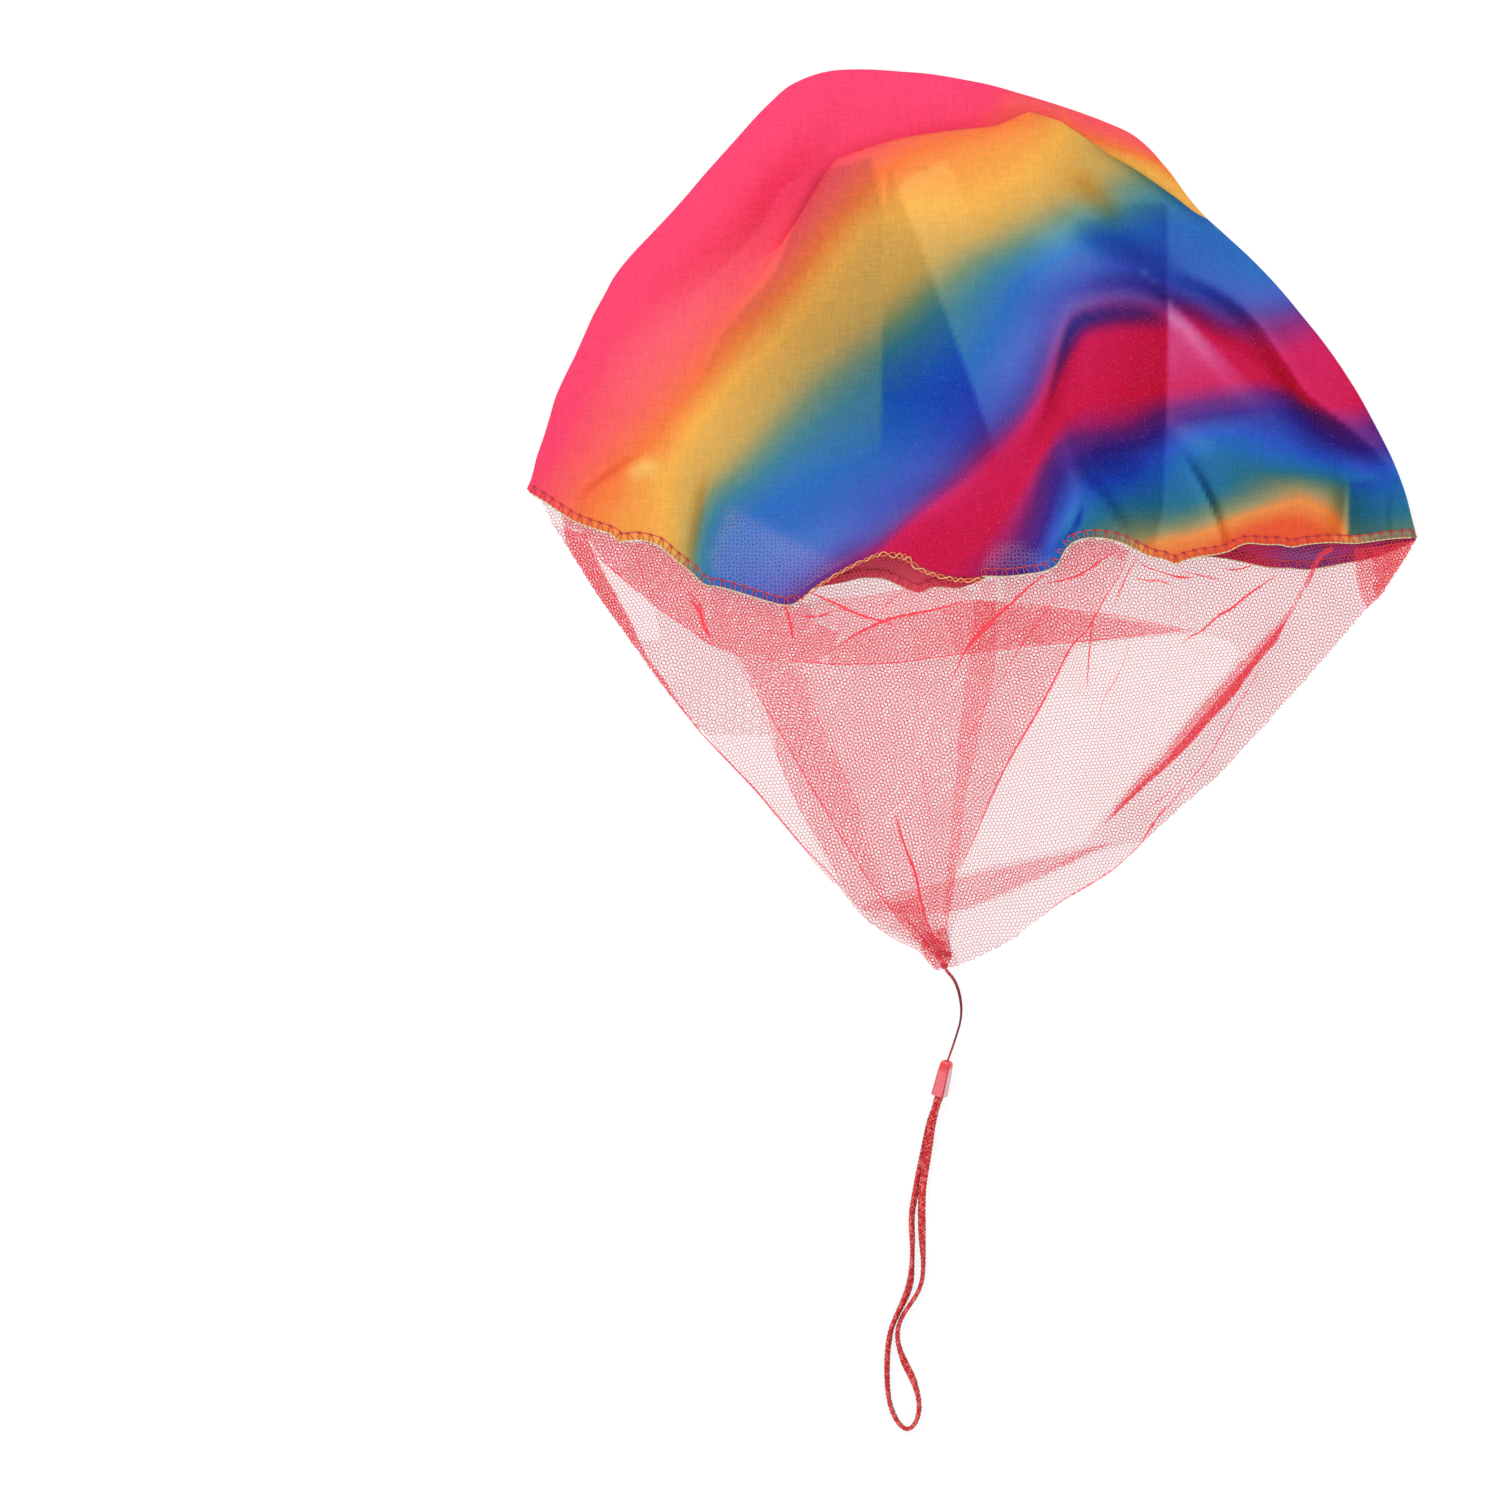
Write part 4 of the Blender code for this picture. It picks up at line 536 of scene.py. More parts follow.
# Thin pleats of the net, drawn in plan: half their width in millimetres, and the line
NET_PLEATS = (
    (0.55, (1130, 551, 1124, 564, 1118, 576, 1110, 588, 1102, 601, 1094, 616, 1084, 632, 1072, 644, 1064, 657,
        1053, 680, 1039, 706, 1027, 727, 1006, 763, 986, 805, 974, 836, 958, 869)),
    (0.40, (1097, 612, 1092, 617, 1089, 639, 1087, 660, 1085, 689)),
    (0.38, (1135, 554, 1132, 564, 1125, 576, 1119, 590, 1112, 607)),
    (0.20, (1129, 638, 1123, 660, 1112, 683, 1102, 699, 1096, 722)),
    (0.55, (1179, 645, 1190, 636, 1199, 632, 1216, 617, 1230, 609, 1248, 594, 1266, 582, 1276, 575)),
    (0.40, (1133, 579, 1148, 581.5, 1158, 581, 1170, 586)),
    (0.50, (1168, 576, 1178, 578, 1192, 578)),
    (0.35, (1181, 572, 1200, 576, 1221, 581)),
    (0.38, (1222, 569, 1234, 570, 1244, 568, 1253, 564)),
    (0.35, (1132, 557, 1144, 567, 1158, 572, 1171, 576, 1190, 578)),
    (0.55, (1044, 584, 1064, 580, 1077, 576, 1090, 568, 1101, 560, 1114, 552)),
    (0.70, (1048, 572, 1027, 588, 1010, 604, 993, 619, 975, 636, 964, 652, 955, 670, 950, 682)),
    (1.10, (1000, 613, 988, 624, 975, 638, 965, 650)),
    (0.35, (1056, 592, 1046, 609, 1033, 628, 1020, 646, 1008, 666, 998, 683)),
    (0.22, (998, 683, 988, 697, 978, 719, 961, 746, 955, 753)),
    (0.75, (806, 591, 823, 599, 837, 605, 851, 612, 867, 618, 882, 622, 896, 626)),
    (0.40, (793, 615, 808, 617, 822, 616, 831, 612, 840, 610)),
    (0.65, (824, 656, 836, 648, 849, 639, 859, 633, 869, 628, 882, 622, 895, 618, 920, 613, 939, 609, 971, 600)),
    (0.25, (905, 590, 895, 597, 886, 606, 877, 614)),
    (0.22, (806, 665, 808, 690, 819, 722, 828, 740, 836, 759, 845, 778, 853, 795, 860, 816, 866, 838, 871.5, 857,
        878.5, 876, 884, 890, 890, 900)),
    (0.85, (894, 812, 900, 833, 905, 848, 909, 858, 914, 871, 917, 883, 919, 895, 922, 906, 925, 918, 930, 930,
        936, 942)),
    (0.18, (920, 749, 921, 770, 925, 795, 928, 808, 931, 826)),
    (0.40, (733, 652, 745, 675, 759, 697, 780, 732, 798, 764, 814, 792, 827, 812, 841, 837, 855, 858, 870, 882,
        883, 899, 891, 909, 900, 921, 914, 936, 928, 948)),
    (0.20, (749, 685, 765, 722, 779, 760, 800, 808, 821, 843, 842, 883, 855, 906)),
    (0.28, (634, 545, 639, 563, 646, 589)),
    (0.30, (679, 580, 689, 593, 701, 606, 706, 623)),
    (1.20, (690, 600, 700, 612, 704, 626, 712, 640)),
    (0.90, (785, 606, 790, 622, 793, 640)),
    (0.28, (1262, 657, 1255, 676, 1245, 693, 1235, 709, 1224, 728, 1214, 747, 1203, 764, 1189, 780, 1180, 792,
        1166, 808, 1158, 818)),
    (0.55, (1166, 806, 1158, 816, 1152, 825, 1145, 836, 1140, 844)),
    (0.18, (1192, 768, 1166, 794, 1147, 809, 1132, 824)),
    (0.30, (1140, 844, 1128, 856, 1113, 869, 1098, 879, 1078, 891, 1058, 903, 1040, 918)),
    (0.35, (735, 654, 769, 660, 800, 662, 836, 664.5, 892, 663, 934, 658, 976, 653, 1023, 648)),
    (0.25, (1022, 648, 1051, 645, 1100, 640, 1156, 634, 1190, 631)),
    (0.25, (996, 600, 1037, 606, 1079, 612, 1121, 617, 1163, 626, 1192, 631)),
    (0.42, (663, 677, 676, 699, 697, 728, 727, 760, 760, 795, 800, 843, 830, 874, 854, 906)),
    (0.22, (858, 912, 892, 937, 919, 951, 934, 970)),
    (0.45, (594, 553, 611, 568, 626, 581, 640, 593)),
    (0.25, (640, 593, 659, 609, 689, 629, 719, 649, 734, 654)),
    (0.30, (585, 533, 595, 556, 606, 578, 618, 600, 630, 621, 640, 643, 649, 659)),
)
# The strands of the gathered neck run between these two lines, drawn in plan
NECK_EDGES = (
    (884, 896, 898, 912, 914, 930, 927, 945, 937, 957, 944, 965.5),
    (949, 922, 950, 935, 951, 946, 951.5, 954, 950, 961, 947, 965.5),
)
NECK_STRANDS = 15
NECK_LATEST_START = 14
NECK_HALF_WIDTHS = (0.00012, 0.00030)


def linear(colour):
    """A colour written as 0 to 255 sRGB, as linear light, and opaque."""
    return *((c / 255 / 12.92) if c <= 10 else ((c / 255 + 0.055) / 1.055) ** 2.4 for c in colour), 1


def both_ways(operation):
    """The methods for a sum or product with a Value on its left and with one on its right."""
    return (lambda self, other: self.maths(operation, self, other),
            lambda self, other: self.maths(operation, other, self))


class Value:
    """A socket whose sums, products and powers add Math nodes."""

    __add__, __radd__ = both_ways("ADD")
    __sub__, __rsub__ = both_ways("SUBTRACT")
    __mul__, __rmul__ = both_ways("MULTIPLY")
    __truediv__, __rtruediv__ = both_ways("DIVIDE")
    __pow__, __rpow__ = both_ways("POWER")

    def __init__(self, tree, socket):
        self.tree = tree
        self.socket = socket

    def maths(self, operation, *values):
        return self.tree.node("ShaderNodeMath", {"operation": operation}, dict(enumerate(values)))

    def clamped(self):
        return self.tree.node("ShaderNodeClamp", {}, {0: self})

    def smooth(self, low, high):
        """0 up to low and 1 from high on, with a smooth step between."""
        settings = {"interpolation_type": "SMOOTHSTEP"}
        return self.tree.node("ShaderNodeMapRange", settings, {"Value": self, "From Min": low, "From Max": high})


class Tree:
    """A node tree, of a material or of Geometry Nodes."""

    def __init__(self, tree):
        self.tree = tree

    def node(self, kind, settings=None, values=None, out=0):
        made = self.tree.nodes.new(kind)
        for name, setting in (settings or {}).items():
            if name == "stops":
                self.set_stops(made.color_ramp, setting)
            else:
                setattr(made, name, setting)
        for key, value in (values or {}).items():
            self.feed(made.inputs[key], value)
        return Value(self, made.outputs[out])

    def feed(self, socket, value):
        if isinstance(value, Value):
            self.tree.links.new(value.socket, socket)
        else:
            socket.default_value = value

    def set_stops(self, ramp, stops):
        while len(ramp.elements) < len(stops):
            ramp.elements.new(1)
        for element, (place, colour) in zip(ramp.elements, stops):
            element.position = place
            element.color = colour

    def mix(self, share, a, b):
        """A mix of two colours."""
        settings = {"data_type": "RGBA", "clamp_factor": True}
        return self.node("ShaderNodeMix", settings, {0: share, 6: a, 7: b}, 2)

    def vector(self, operation, *values):
        return self.node("ShaderNodeVectorMath", {"operation": operation}, dict(enumerate(values)))

    def scaled(self, vector, amount):
        return self.node("ShaderNodeVectorMath", {"operation": "SCALE"}, {0: vector, "Scale": amount})

    def other(self, value, out):
        """Another output of the node that a value comes from."""
        return Value(self, value.socket.node.outputs[out])


class Finish(Tree):
    """A material with its Principled shader."""

    def __init__(self, name, **constants):
        self.material = bpy.data.materials.new(name)
        self.material.use_nodes = True
        super().__init__(self.material.node_tree)
        self.shader = self.tree.nodes["Principled BSDF"]
        self.place = self.node("ShaderNodeTexCoord", {}, {}, "Object")
        for name, value in constants.items():
            self.shader.inputs[name.replace("_", " ").title().replace("Ior", "IOR")].default_value = value

    def set(self, name, value):
        self.feed(self.shader.inputs[name], value)

    def noise(self, scale, detail=2, place=None):
        values = {"Vector": place or self.place, "Scale": scale, "Detail": detail, "Roughness": 0.5}
        return self.node("ShaderNodeTexNoise", {}, values)

    def attribute(self, name):
        return self.node("ShaderNodeAttribute", {"attribute_name": name}, {}, "Fac")

    def bump(self, height, strength, distance):
        values = {"Height": height, "Strength": strength, "Distance": distance}
        self.set("Normal", self.node("ShaderNodeBump", {}, values, "Normal"))


def smooth_line(points, steps=24):
    """A Catmull-Rom curve through the points, as evenly spaced points."""
    points = np.asarray(points, float)
    padded = np.vstack([2 * points[0] - points[1], points, 2 * points[-1] - points[-2]])
    t = np.linspace(0, 1, steps, endpoint=False)[:, None]
    runs = []
    for a, b, c, d in zip(padded, padded[1:], padded[2:], padded[3:]):
        square = 2 * a - 5 * b + 4 * c - d
        cube = 3 * b - a - 3 * c + d
        runs.append((2 * b + (c - a) * t + square * t**2 + cube * t**3) / 2)
    dense = np.vstack([*runs, points[-1:]])
    length = np.concatenate([[0], np.cumsum(np.linalg.norm(np.diff(dense[:, :3], axis=0), axis=1))])
    even = np.linspace(0, length[-1], len(dense))
    return np.column_stack([np.interp(even, length, dense[:, k]) for k in range(points.shape[1])])


def along(line, share):
    """The point at a share of a line of evenly spaced points."""
    places = np.linspace(0, 1, len(line))
    return np.stack([np.interp(share, places, line[:, k]) for k in range(line.shape[1])], axis=-1)


def unit(vectors):
    """Vectors brought to a length of one."""
    return vectors / np.linalg.norm(vectors, axis=1)[:, None]


def ways_along(line):
    """For each point of a line the ways ahead, level across it and upright to both."""
    ahead = unit(np.gradient(line, axis=0))
    level = unit(np.cross(ahead, (0, 0, 1)))
    return ahead, level, np.cross(level, ahead)


def ease(low, high, value):
    """0 up to low and 1 from high on, with a smooth step between."""
    t = np.clip((value - low) / (high - low), 0, 1)
    return t * t * (3 - 2 * t)


def plan(points):
    """Metres across and up for points of the plan drawing, which are written as x and y in turn."""
    return (np.reshape(points, (-1, 2)) - PLAN_MIDDLE) * (PLAN_UNIT, -PLAN_UNIT)


def outlined(points):
    """A closed line through points of the plan drawing, in metres."""
    edge = plan(points)
    return np.vstack([edge, edge[:1]])


def drawn(points, steps=8):
    """A smooth line through points of the plan drawing, in metres."""
    return smooth_line(plan(points), steps)


FRONT_HEM = drawn(FRONT_HEM_LINE)
BACK_HEM = drawn(BACK_HEM_LINE)
LEFT_EDGE = drawn(LEFT_OUTLINE)
TOP_EDGE = drawn(TOP_OUTLINE)
RIGHT_EDGE = drawn(RIGHT_OUTLINE)
FOLD_LINE = drawn(FOLD_EDGE)
FOLD_WAY = smooth_line(FOLD_ROW_SHARES)


def hem_point(line, u):
    """The plan place of a hem at u, which runs from 0 at the left tip to 1 at the right one."""
    x = (u - 0.5) * LAID_WIDTH
    return np.stack([x, np.interp(x, line[:, 0], line[:, 1])], axis=-1)


def between_edges(low, high, left, right, u, v):
    """A point of the patch inside four edges: low and high at u, left and right at v."""
    u = np.asarray(u)[..., None]
    v = np.asarray(v)[..., None]
    corners = (1 - u) * (1 - v) * left[0] + u * (1 - v) * right[0] + (1 - u) * v * left[1] + u * v * right[1]
    sides = (1 - u) * left[2] + u * right[2]
    return (1 - v) * low + v * high + sides - corners


def canopy_place(line, u, v):
    """The plan place of the canopy's front or back, at u across and v from the hem to the top edge."""
    left = (LEFT_EDGE[0], LEFT_EDGE[-1], along(LEFT_EDGE, v))
    right = (RIGHT_EDGE[0], RIGHT_EDGE[-1], along(RIGHT_EDGE, v))
    return between_edges(hem_point(line, u), along(TOP_EDGE, u), left, right, u, v)


def fold_height(u):
    """The v at which the canopy's front meets the fold line."""
    rise = np.linspace(0, 1, 201)
    found = []
    for across in np.atleast_1d(u):
        places = canopy_place(FRONT_HEM, np.full_like(rise, across), rise)
        over = places[:, 1] - np.interp(places[:, 0], FOLD_LINE[:, 0], FOLD_LINE[:, 1])
        first = int(np.argmax(over > 0))
        if over[first] <= 0:
            found.append(1.0)
        else:
            share = over[first] / (over[first] - over[first - 1])
            found.append(rise[first] - share * (rise[1] - rise[0]))
    return np.minimum(found, FOLD_LIMIT_SHARE)


def puff(u):
    """How high the canopy's heap is at u across it."""
    return CANOPY_PUFF * np.sin(math.pi * u) ** PUFF_FLATNESS


def mouth_height(u):
    """The height of the front hem."""
    return EDGE_GAP + puff(u) * FOLD_ROW_SHARES[0][3]


def front_place(u, share, fold):
    """A point of the canopy's front, doubled back at the fold, and whether it lies behind the fold, as a share."""
    to_fold, back, onward, high = along(FOLD_WAY, share).T
    folded = ease(*FOLD_START_SHARES, u)
    depth = FOLD_DEPTH / CANOPY_RISE * (1 - FOLD_SHALLOWING * ease(*FOLD_END_SHARES, u))
    doubled = to_fold * fold - back * depth + onward * (1 - fold)
    v = folded * doubled + (1 - folded) * share
    plain = np.interp(v, *smooth_line(PLAIN_HEIGHT_SHARES).T)
    place = canopy_place(FRONT_HEM, u, v)
    height = EDGE_GAP + puff(u) * (folded * high + (1 - folded) * plain)
    turn = np.argmax(FOLD_WAY[:, 1]) / (len(FOLD_WAY) - 1)
    runs_out = ease(*FOLD_RUNS_OUT, fold) * ease(*FOLD_RUNS_OUT_ACROSS, u)
    return np.column_stack([place, height]), folded * ease(turn - BEHIND_BLEND, turn, share) * (1 - runs_out)


def dye_field(lines):
    """A smooth function of plan places that takes each line's value on it: a thin plate through the lines."""
    places, values = [], []
    for value, points in lines:
        line = drawn(points, 4)[::2]
        places.append(line)
        values.append(np.full(len(line), value))
    places = np.vstack(places) / LAID_WIDTH
    values = np.concatenate(values)

    def kernel(a, b):
        square = ((a[:, None] - b[None]) ** 2).sum(axis=2)
        return square * np.log(square + 1e-12)

    count = len(places)
    plane = np.column_stack([np.ones(count), places])
    system = np.zeros((count + 3, count + 3))
    system[:count, :count] = kernel(places, places) + DYE_SMOOTHING * np.eye(count)
    system[:count, count:] = plane
    system[count:, :count] = plane.T
    weights = np.linalg.solve(system, np.concatenate([values, np.zeros(3)]))

    def field(points):
        points = np.asarray(points) / LAID_WIDTH
        found = np.column_stack([np.ones(len(points)), points]) @ weights[count:]
        for start in range(0, len(points), DYE_BATCH):
            part = slice(start, start + DYE_BATCH)
            found[part] += kernel(points[part], places) @ weights[:count]
        return np.clip(found, 0, DYE_END)

    return field


def nearest_on(line, places):
    """For each place its signed distance from a line, plus on its left, and how far along the line it lies."""
    start, way = line[:-1], np.diff(line, axis=0)
    size = (way ** 2).sum(axis=1)
    step = np.clip(((places[:, None] - start) * way).sum(axis=2) / size, 0, 1)
    gap = places[:, None] - start - step[..., None] * way
    distance = np.hypot(*np.moveaxis(gap, 2, 0))
    nearest = distance.argmin(axis=1)
    pick = np.arange(len(places)), nearest
    side = np.sign(way[nearest, 0] * gap[pick][:, 1] - way[nearest, 1] * gap[pick][:, 0])
    lengths = np.append(0, np.cumsum(np.sqrt(size)))
    share = (lengths[nearest] + step[pick] * np.sqrt(size[nearest])) / lengths[-1]
    return distance[pick] * side, share


def inside_of(edge, places):
    """How far places lie inside a closed line, less than nothing outside it."""
    inside = np.zeros(len(places), bool)
    for (x0, y0), (x1, y1) in zip(edge[:-1], edge[1:]):
        crosses = (y0 > places[:, 1]) != (y1 > places[:, 1])
        meet = x0 + (places[:, 1] - y0) * (x1 - x0) / (y1 - y0 if y1 != y0 else 1e-9)
        inside ^= crosses & (places[:, 0] < meet)
    return np.abs(nearest_on(edge, places)[0]) * np.where(inside, 1, -1)


def near_to(places, line, reach):
    """Which of the places lie in the box round a line, widened by the reach."""
    low, high = line.min(axis=0) - reach, line.max(axis=0) + reach
    return np.flatnonzero(((places > low) & (places < high)).all(axis=1))


def net_seen(places):
    """How plainly the net is made out through the cloth at plan places."""
    seen = np.zeros(len(places))
    for outline in NET_SEEN:
        edge = outlined(outline)
        near = near_to(places, edge, NET_SEEN_EDGE[1])
        seen[near] = np.maximum(seen[near], ease(*NET_SEEN_EDGE, inside_of(edge, places[near])))
    return seen


def draped(places):
    """How much deeper, lighter, further along the dyes and higher the front is at plan places: painted shade and
    highlights along the drapes, and the layers seen through the cloth.
    """
    added = np.zeros((len(places), 4))
    for tone, dye, height, left, right, route in DRAPES:
        line = drawn(route, 4)
        near = near_to(places, line, DRAPE_REACH * max(left, right) * MILLIMETRE)
        if len(near):
            distance, share = nearest_on(line, places[near])
            width = np.where(distance > 0, left, right) * MILLIMETRE
            amount = np.exp(-(distance / width) ** 2) * np.sin(math.pi * np.clip(share, 0.02, 0.98)) ** 0.5
            # A drape's tone is painted shade where it is negative and painted highlight where it is positive
            shade = tone * (DRAPE_PAINTED_SHADE if tone < 0 else DRAPE_PAINTED_HIGHLIGHT)
            added[near] += amount[:, None] * (tone * DRAPE_DEPTH, shade, dye, height * MILLIMETRE)
    for first, last, outline in LAYERS:
        edge = outlined(outline)
        near = near_to(places, edge, LAYER_MARGIN)
        amount = ease(-LAYER_EDGE, LAYER_EDGE, inside_of(edge, places[near]))[:, None]
        ends = plan((first[3], last[3]))
        way = ends[1] - ends[0]
        share = np.clip((places[near] - ends[0]) @ way / (way @ way), 0, 1)[:, None]
        added[near, :3] += amount * ((1 - share) * first[:3] + share * np.array(last[:3]))
    return added


def mesh_from(name, points, faces):
    """A smooth mesh of points and faces."""
    mesh = bpy.data.meshes.new(name)
    mesh.from_pydata(np.asarray(points, float).tolist(), [], faces)
    mesh.shade_smooth()
    return mesh


def new_object(name, data):
    """A new object in the scene."""
    item = bpy.data.objects.new(name, data)
    bpy.context.scene.collection.objects.link(item)
    return item


def add_piece(name, data, finish, body):
    """A piece that rides on a body, with its finish unless its mesh brings its own."""
    piece = new_object(name, data)
    if finish:
        data.materials.clear()
        data.materials.append(finish)
    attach(piece, body)
    return piece


def sheet_faces(rows, columns, first=0):
    """The four-sided faces between rows and columns of points."""
    starts = (first + row * columns + column for row in range(rows - 1) for column in range(columns - 1))
    return [(a, a + 1, a + columns + 1, a + columns) for a in starts]


def store(mesh, name, values):
    """A number for each point of a mesh."""
    attribute = mesh.attributes.new(name, "FLOAT", "POINT")
    attribute.data.foreach_set("value", np.asarray(values, np.float32))


def node_group(name, inputs):
    """A Geometry Nodes group's tree and its inputs, which are given by name and kind."""
    group = bpy.data.node_groups.new(name, "GeometryNodeTree")
    group.interface.new_socket("Geometry", in_out="OUTPUT", socket_type="NodeSocketGeometry")
    group.interface.new_socket("Geometry", in_out="INPUT", socket_type="NodeSocketGeometry")
    for label, kind in inputs.items():
        group.interface.new_socket(label, in_out="INPUT", socket_type="NodeSocket" + kind)
    tree = GrowthTree(group)
    source = group.nodes.new("NodeGroupInput")
    return tree, {label: Value(tree, source.outputs[label]) for label in ("Geometry", *inputs)}


class GrowthTree(Tree):
    """A Geometry Nodes tree, with the nodes that its pieces share."""

    def grow(self, kind, values=None, out=0, **settings):
        """A geometry node by the end of its type's name."""
        return self.node("GeometryNode" + kind, settings, values, out)

    def named(self, name, data_type="FLOAT"):
        """An attribute that a base mesh carries."""
        return self.grow("InputNamedAttribute", {"Name": name}, data_type=data_type)

    def xyz(self, x=0.0, y=0.0, z=0.0):
        return self.node("ShaderNodeCombineXYZ", {}, {"X": x, "Y": y, "Z": z})

    def parts(self, vector):
        first = self.node("ShaderNodeSeparateXYZ", {}, {0: vector})
        return first, self.other(first, "Y"), self.other(first, "Z")

    def place(self):
        return self.grow("InputPosition")

    def fall(self, target, place):
        """Whether a line down from high over a place meets the target, and where."""
        values = {
            "Target Geometry": target,
            "Source Position": self.vector("ADD", place, (0, 0, 0.2)),
            "Ray Direction": (0, 0, -1),
            "Ray Length": 1.0,
        }
        hit = self.grow("Raycast", values, "Is Hit")
        return hit, self.other(hit, "Hit Position")

    def laid(self, geometry, ins):
        """Points moved to their level between the net's front and back sheets."""
        x, y, _ = self.parts(self.place())
        heights = []
        for name in ("Front", "Back"):
            values = {
                "Mesh": self.grow("ObjectInfo", {"Object": ins[name]}, "Geometry"),
                "Value": self.named("height"),
                "Sample Position": self.xyz(x, y),
            }
            heights.append(self.grow("SampleNearestSurface", values, data_type="FLOAT"))
        front, back = heights
        height = front * (1 - ins["Level"]) + back * ins["Level"]
        return self.grow("SetPosition", {"Geometry": geometry, "Position": self.xyz(x, y, height)})

    def ribbon(self, curve, width):
        """A flat strip along each curve, level from side to side."""
        curve = self.grow("SetCurveNormal", {"Curve": curve}, mode="Z_UP")
        start = self.xyz(-0.5 * width)
        end = self.xyz(0.5 * width)
        across = self.grow("CurvePrimitiveLine", {"Start": start, "End": end})
        values = {"Curve": curve, "Profile Curve": across, "Scale": self.grow("InputRadius")}
        return self.grow("CurveToMesh", values)

    def thread(self, curve, diameter, sides=6):
        """A round tube along each curve."""
        values = {"Resolution": sides, "Radius": diameter * 0.5}
        ring = self.grow("CurvePrimitiveCircle", values)
        return self.grow("CurveToMesh", {"Curve": curve, "Profile Curve": ring, "Fill Caps": True})

    def finish(self, parts, finishes):
        """The joined parts, each with its material, as the group's output."""
        join = self.tree.nodes.new("GeometryNodeJoinGeometry")
        for part, material in list(zip(parts, finishes))[::-1]:
            done = self.grow("SetMaterial", {"Geometry": part, "Material": material})
            self.tree.links.new(done.socket, join.inputs[0])
        whole = self.grow("RealizeInstances", {"Geometry": Value(self, join.outputs[0])})
        output = self.tree.nodes.new("NodeGroupOutput")
        self.feed(output.inputs[0], whole)
        return self.tree


def grown(name, mesh, group, inputs):
    """The plain mesh that a Geometry Nodes group makes from a base mesh, with its inputs set by name."""
    item = new_object(name + "_base", mesh)
    modifier = item.modifiers.new(name, "NODES")
    modifier.node_group = group
    for socket in group.interface.items_tree:
        if socket.in_out == "INPUT" and socket.name in inputs:
            modifier[socket.identifier] = inputs[socket.name]
    bpy.context.view_layer.update()
    made = bpy.data.meshes.new_from_object(item.evaluated_get(bpy.context.evaluated_depsgraph_get()))
    made.name = name
    item.modifiers.remove(modifier)
    bpy.data.objects.remove(item)
    return made


def joined(name, meshes):
    """One mesh of several, which share their materials' order."""
    whole = bmesh.new()
    for mesh in meshes:
        whole.from_mesh(mesh)
    made = bpy.data.meshes.new(name)
    for material in meshes[0].materials:
        made.materials.append(material)
    whole.to_mesh(made)
    whole.free()
    return made


def flat_panels(name, outlines):
    """Flat faces drawn in plan, on the floor's level."""
    points, faces = [], []
    for outline in outlines:
        places = plan(outline)
        faces.append(tuple(range(len(points), len(points) + len(places))))
        points += [(x, y, 0.0) for x, y in places]
    return mesh_from(name, points, faces)


def pleat_outline(half_width, line):
    """The narrow outline of a thin pleat that runs out to a point at both ends, in the plan drawing's units."""
    route = smooth_line(np.reshape(line, (-1, 2)), 6)
    way = np.gradient(route, axis=0)
    side = unit(np.column_stack([-way[:, 1], way[:, 0]]))
    reach = half_width * MILLIMETRE / PLAN_UNIT * np.sin(math.pi * np.linspace(0.04, 0.96, len(route)))[:, None] ** 0.7
    return np.vstack([route + side * reach, (route - side * reach)[::-1]])


def net_sheet(name, line, front):
    """The net's front or back as a plain sheet, from the mouth to the gathered neck."""
    u = np.linspace(0, 1, NET_COLUMNS)
    left, right = drawn(NET_LEFT_EDGE), drawn(NET_RIGHT_EDGE)
    ends = (1 - u)[:, None] * left[-1] + u[:, None] * right[-1]
    depth = WAIST_DEPTH / 2 * np.sin(math.pi * u) * (1 if front else -1)
    neck = np.column_stack([ends, WAIST_AXIS_Z + depth])
    rows = []
    for share in np.linspace(0, 1, NET_LINES):
        w = np.full_like(u, share)
        sides = ((left[0], left[-1], along(left, w)), (right[0], right[-1], along(right, w)))
        place = between_edges(hem_point(line, u), neck[:, :2], *sides, u, w)
        loose = np.full_like(u, BACK_NET_HEIGHT)
        if front:
            loose = EDGE_GAP + puff(u) * FOLD_ROW_SHARES[0][3] * (1 - w)
            loose += NET_PUFF * np.sin(math.pi * u) * np.sin(math.pi * w)
        gathered = ease(*GATHER_SHARES, w)
        rows.append(np.column_stack([place, (1 - gathered) * loose + gathered * neck[:, 2]]))
    points = np.vstack(rows)
    mesh = mesh_from(name, points * (1, 1, 0), sheet_faces(NET_LINES, NET_COLUMNS))
    store(mesh, "height", points[:, 2])
    return mesh


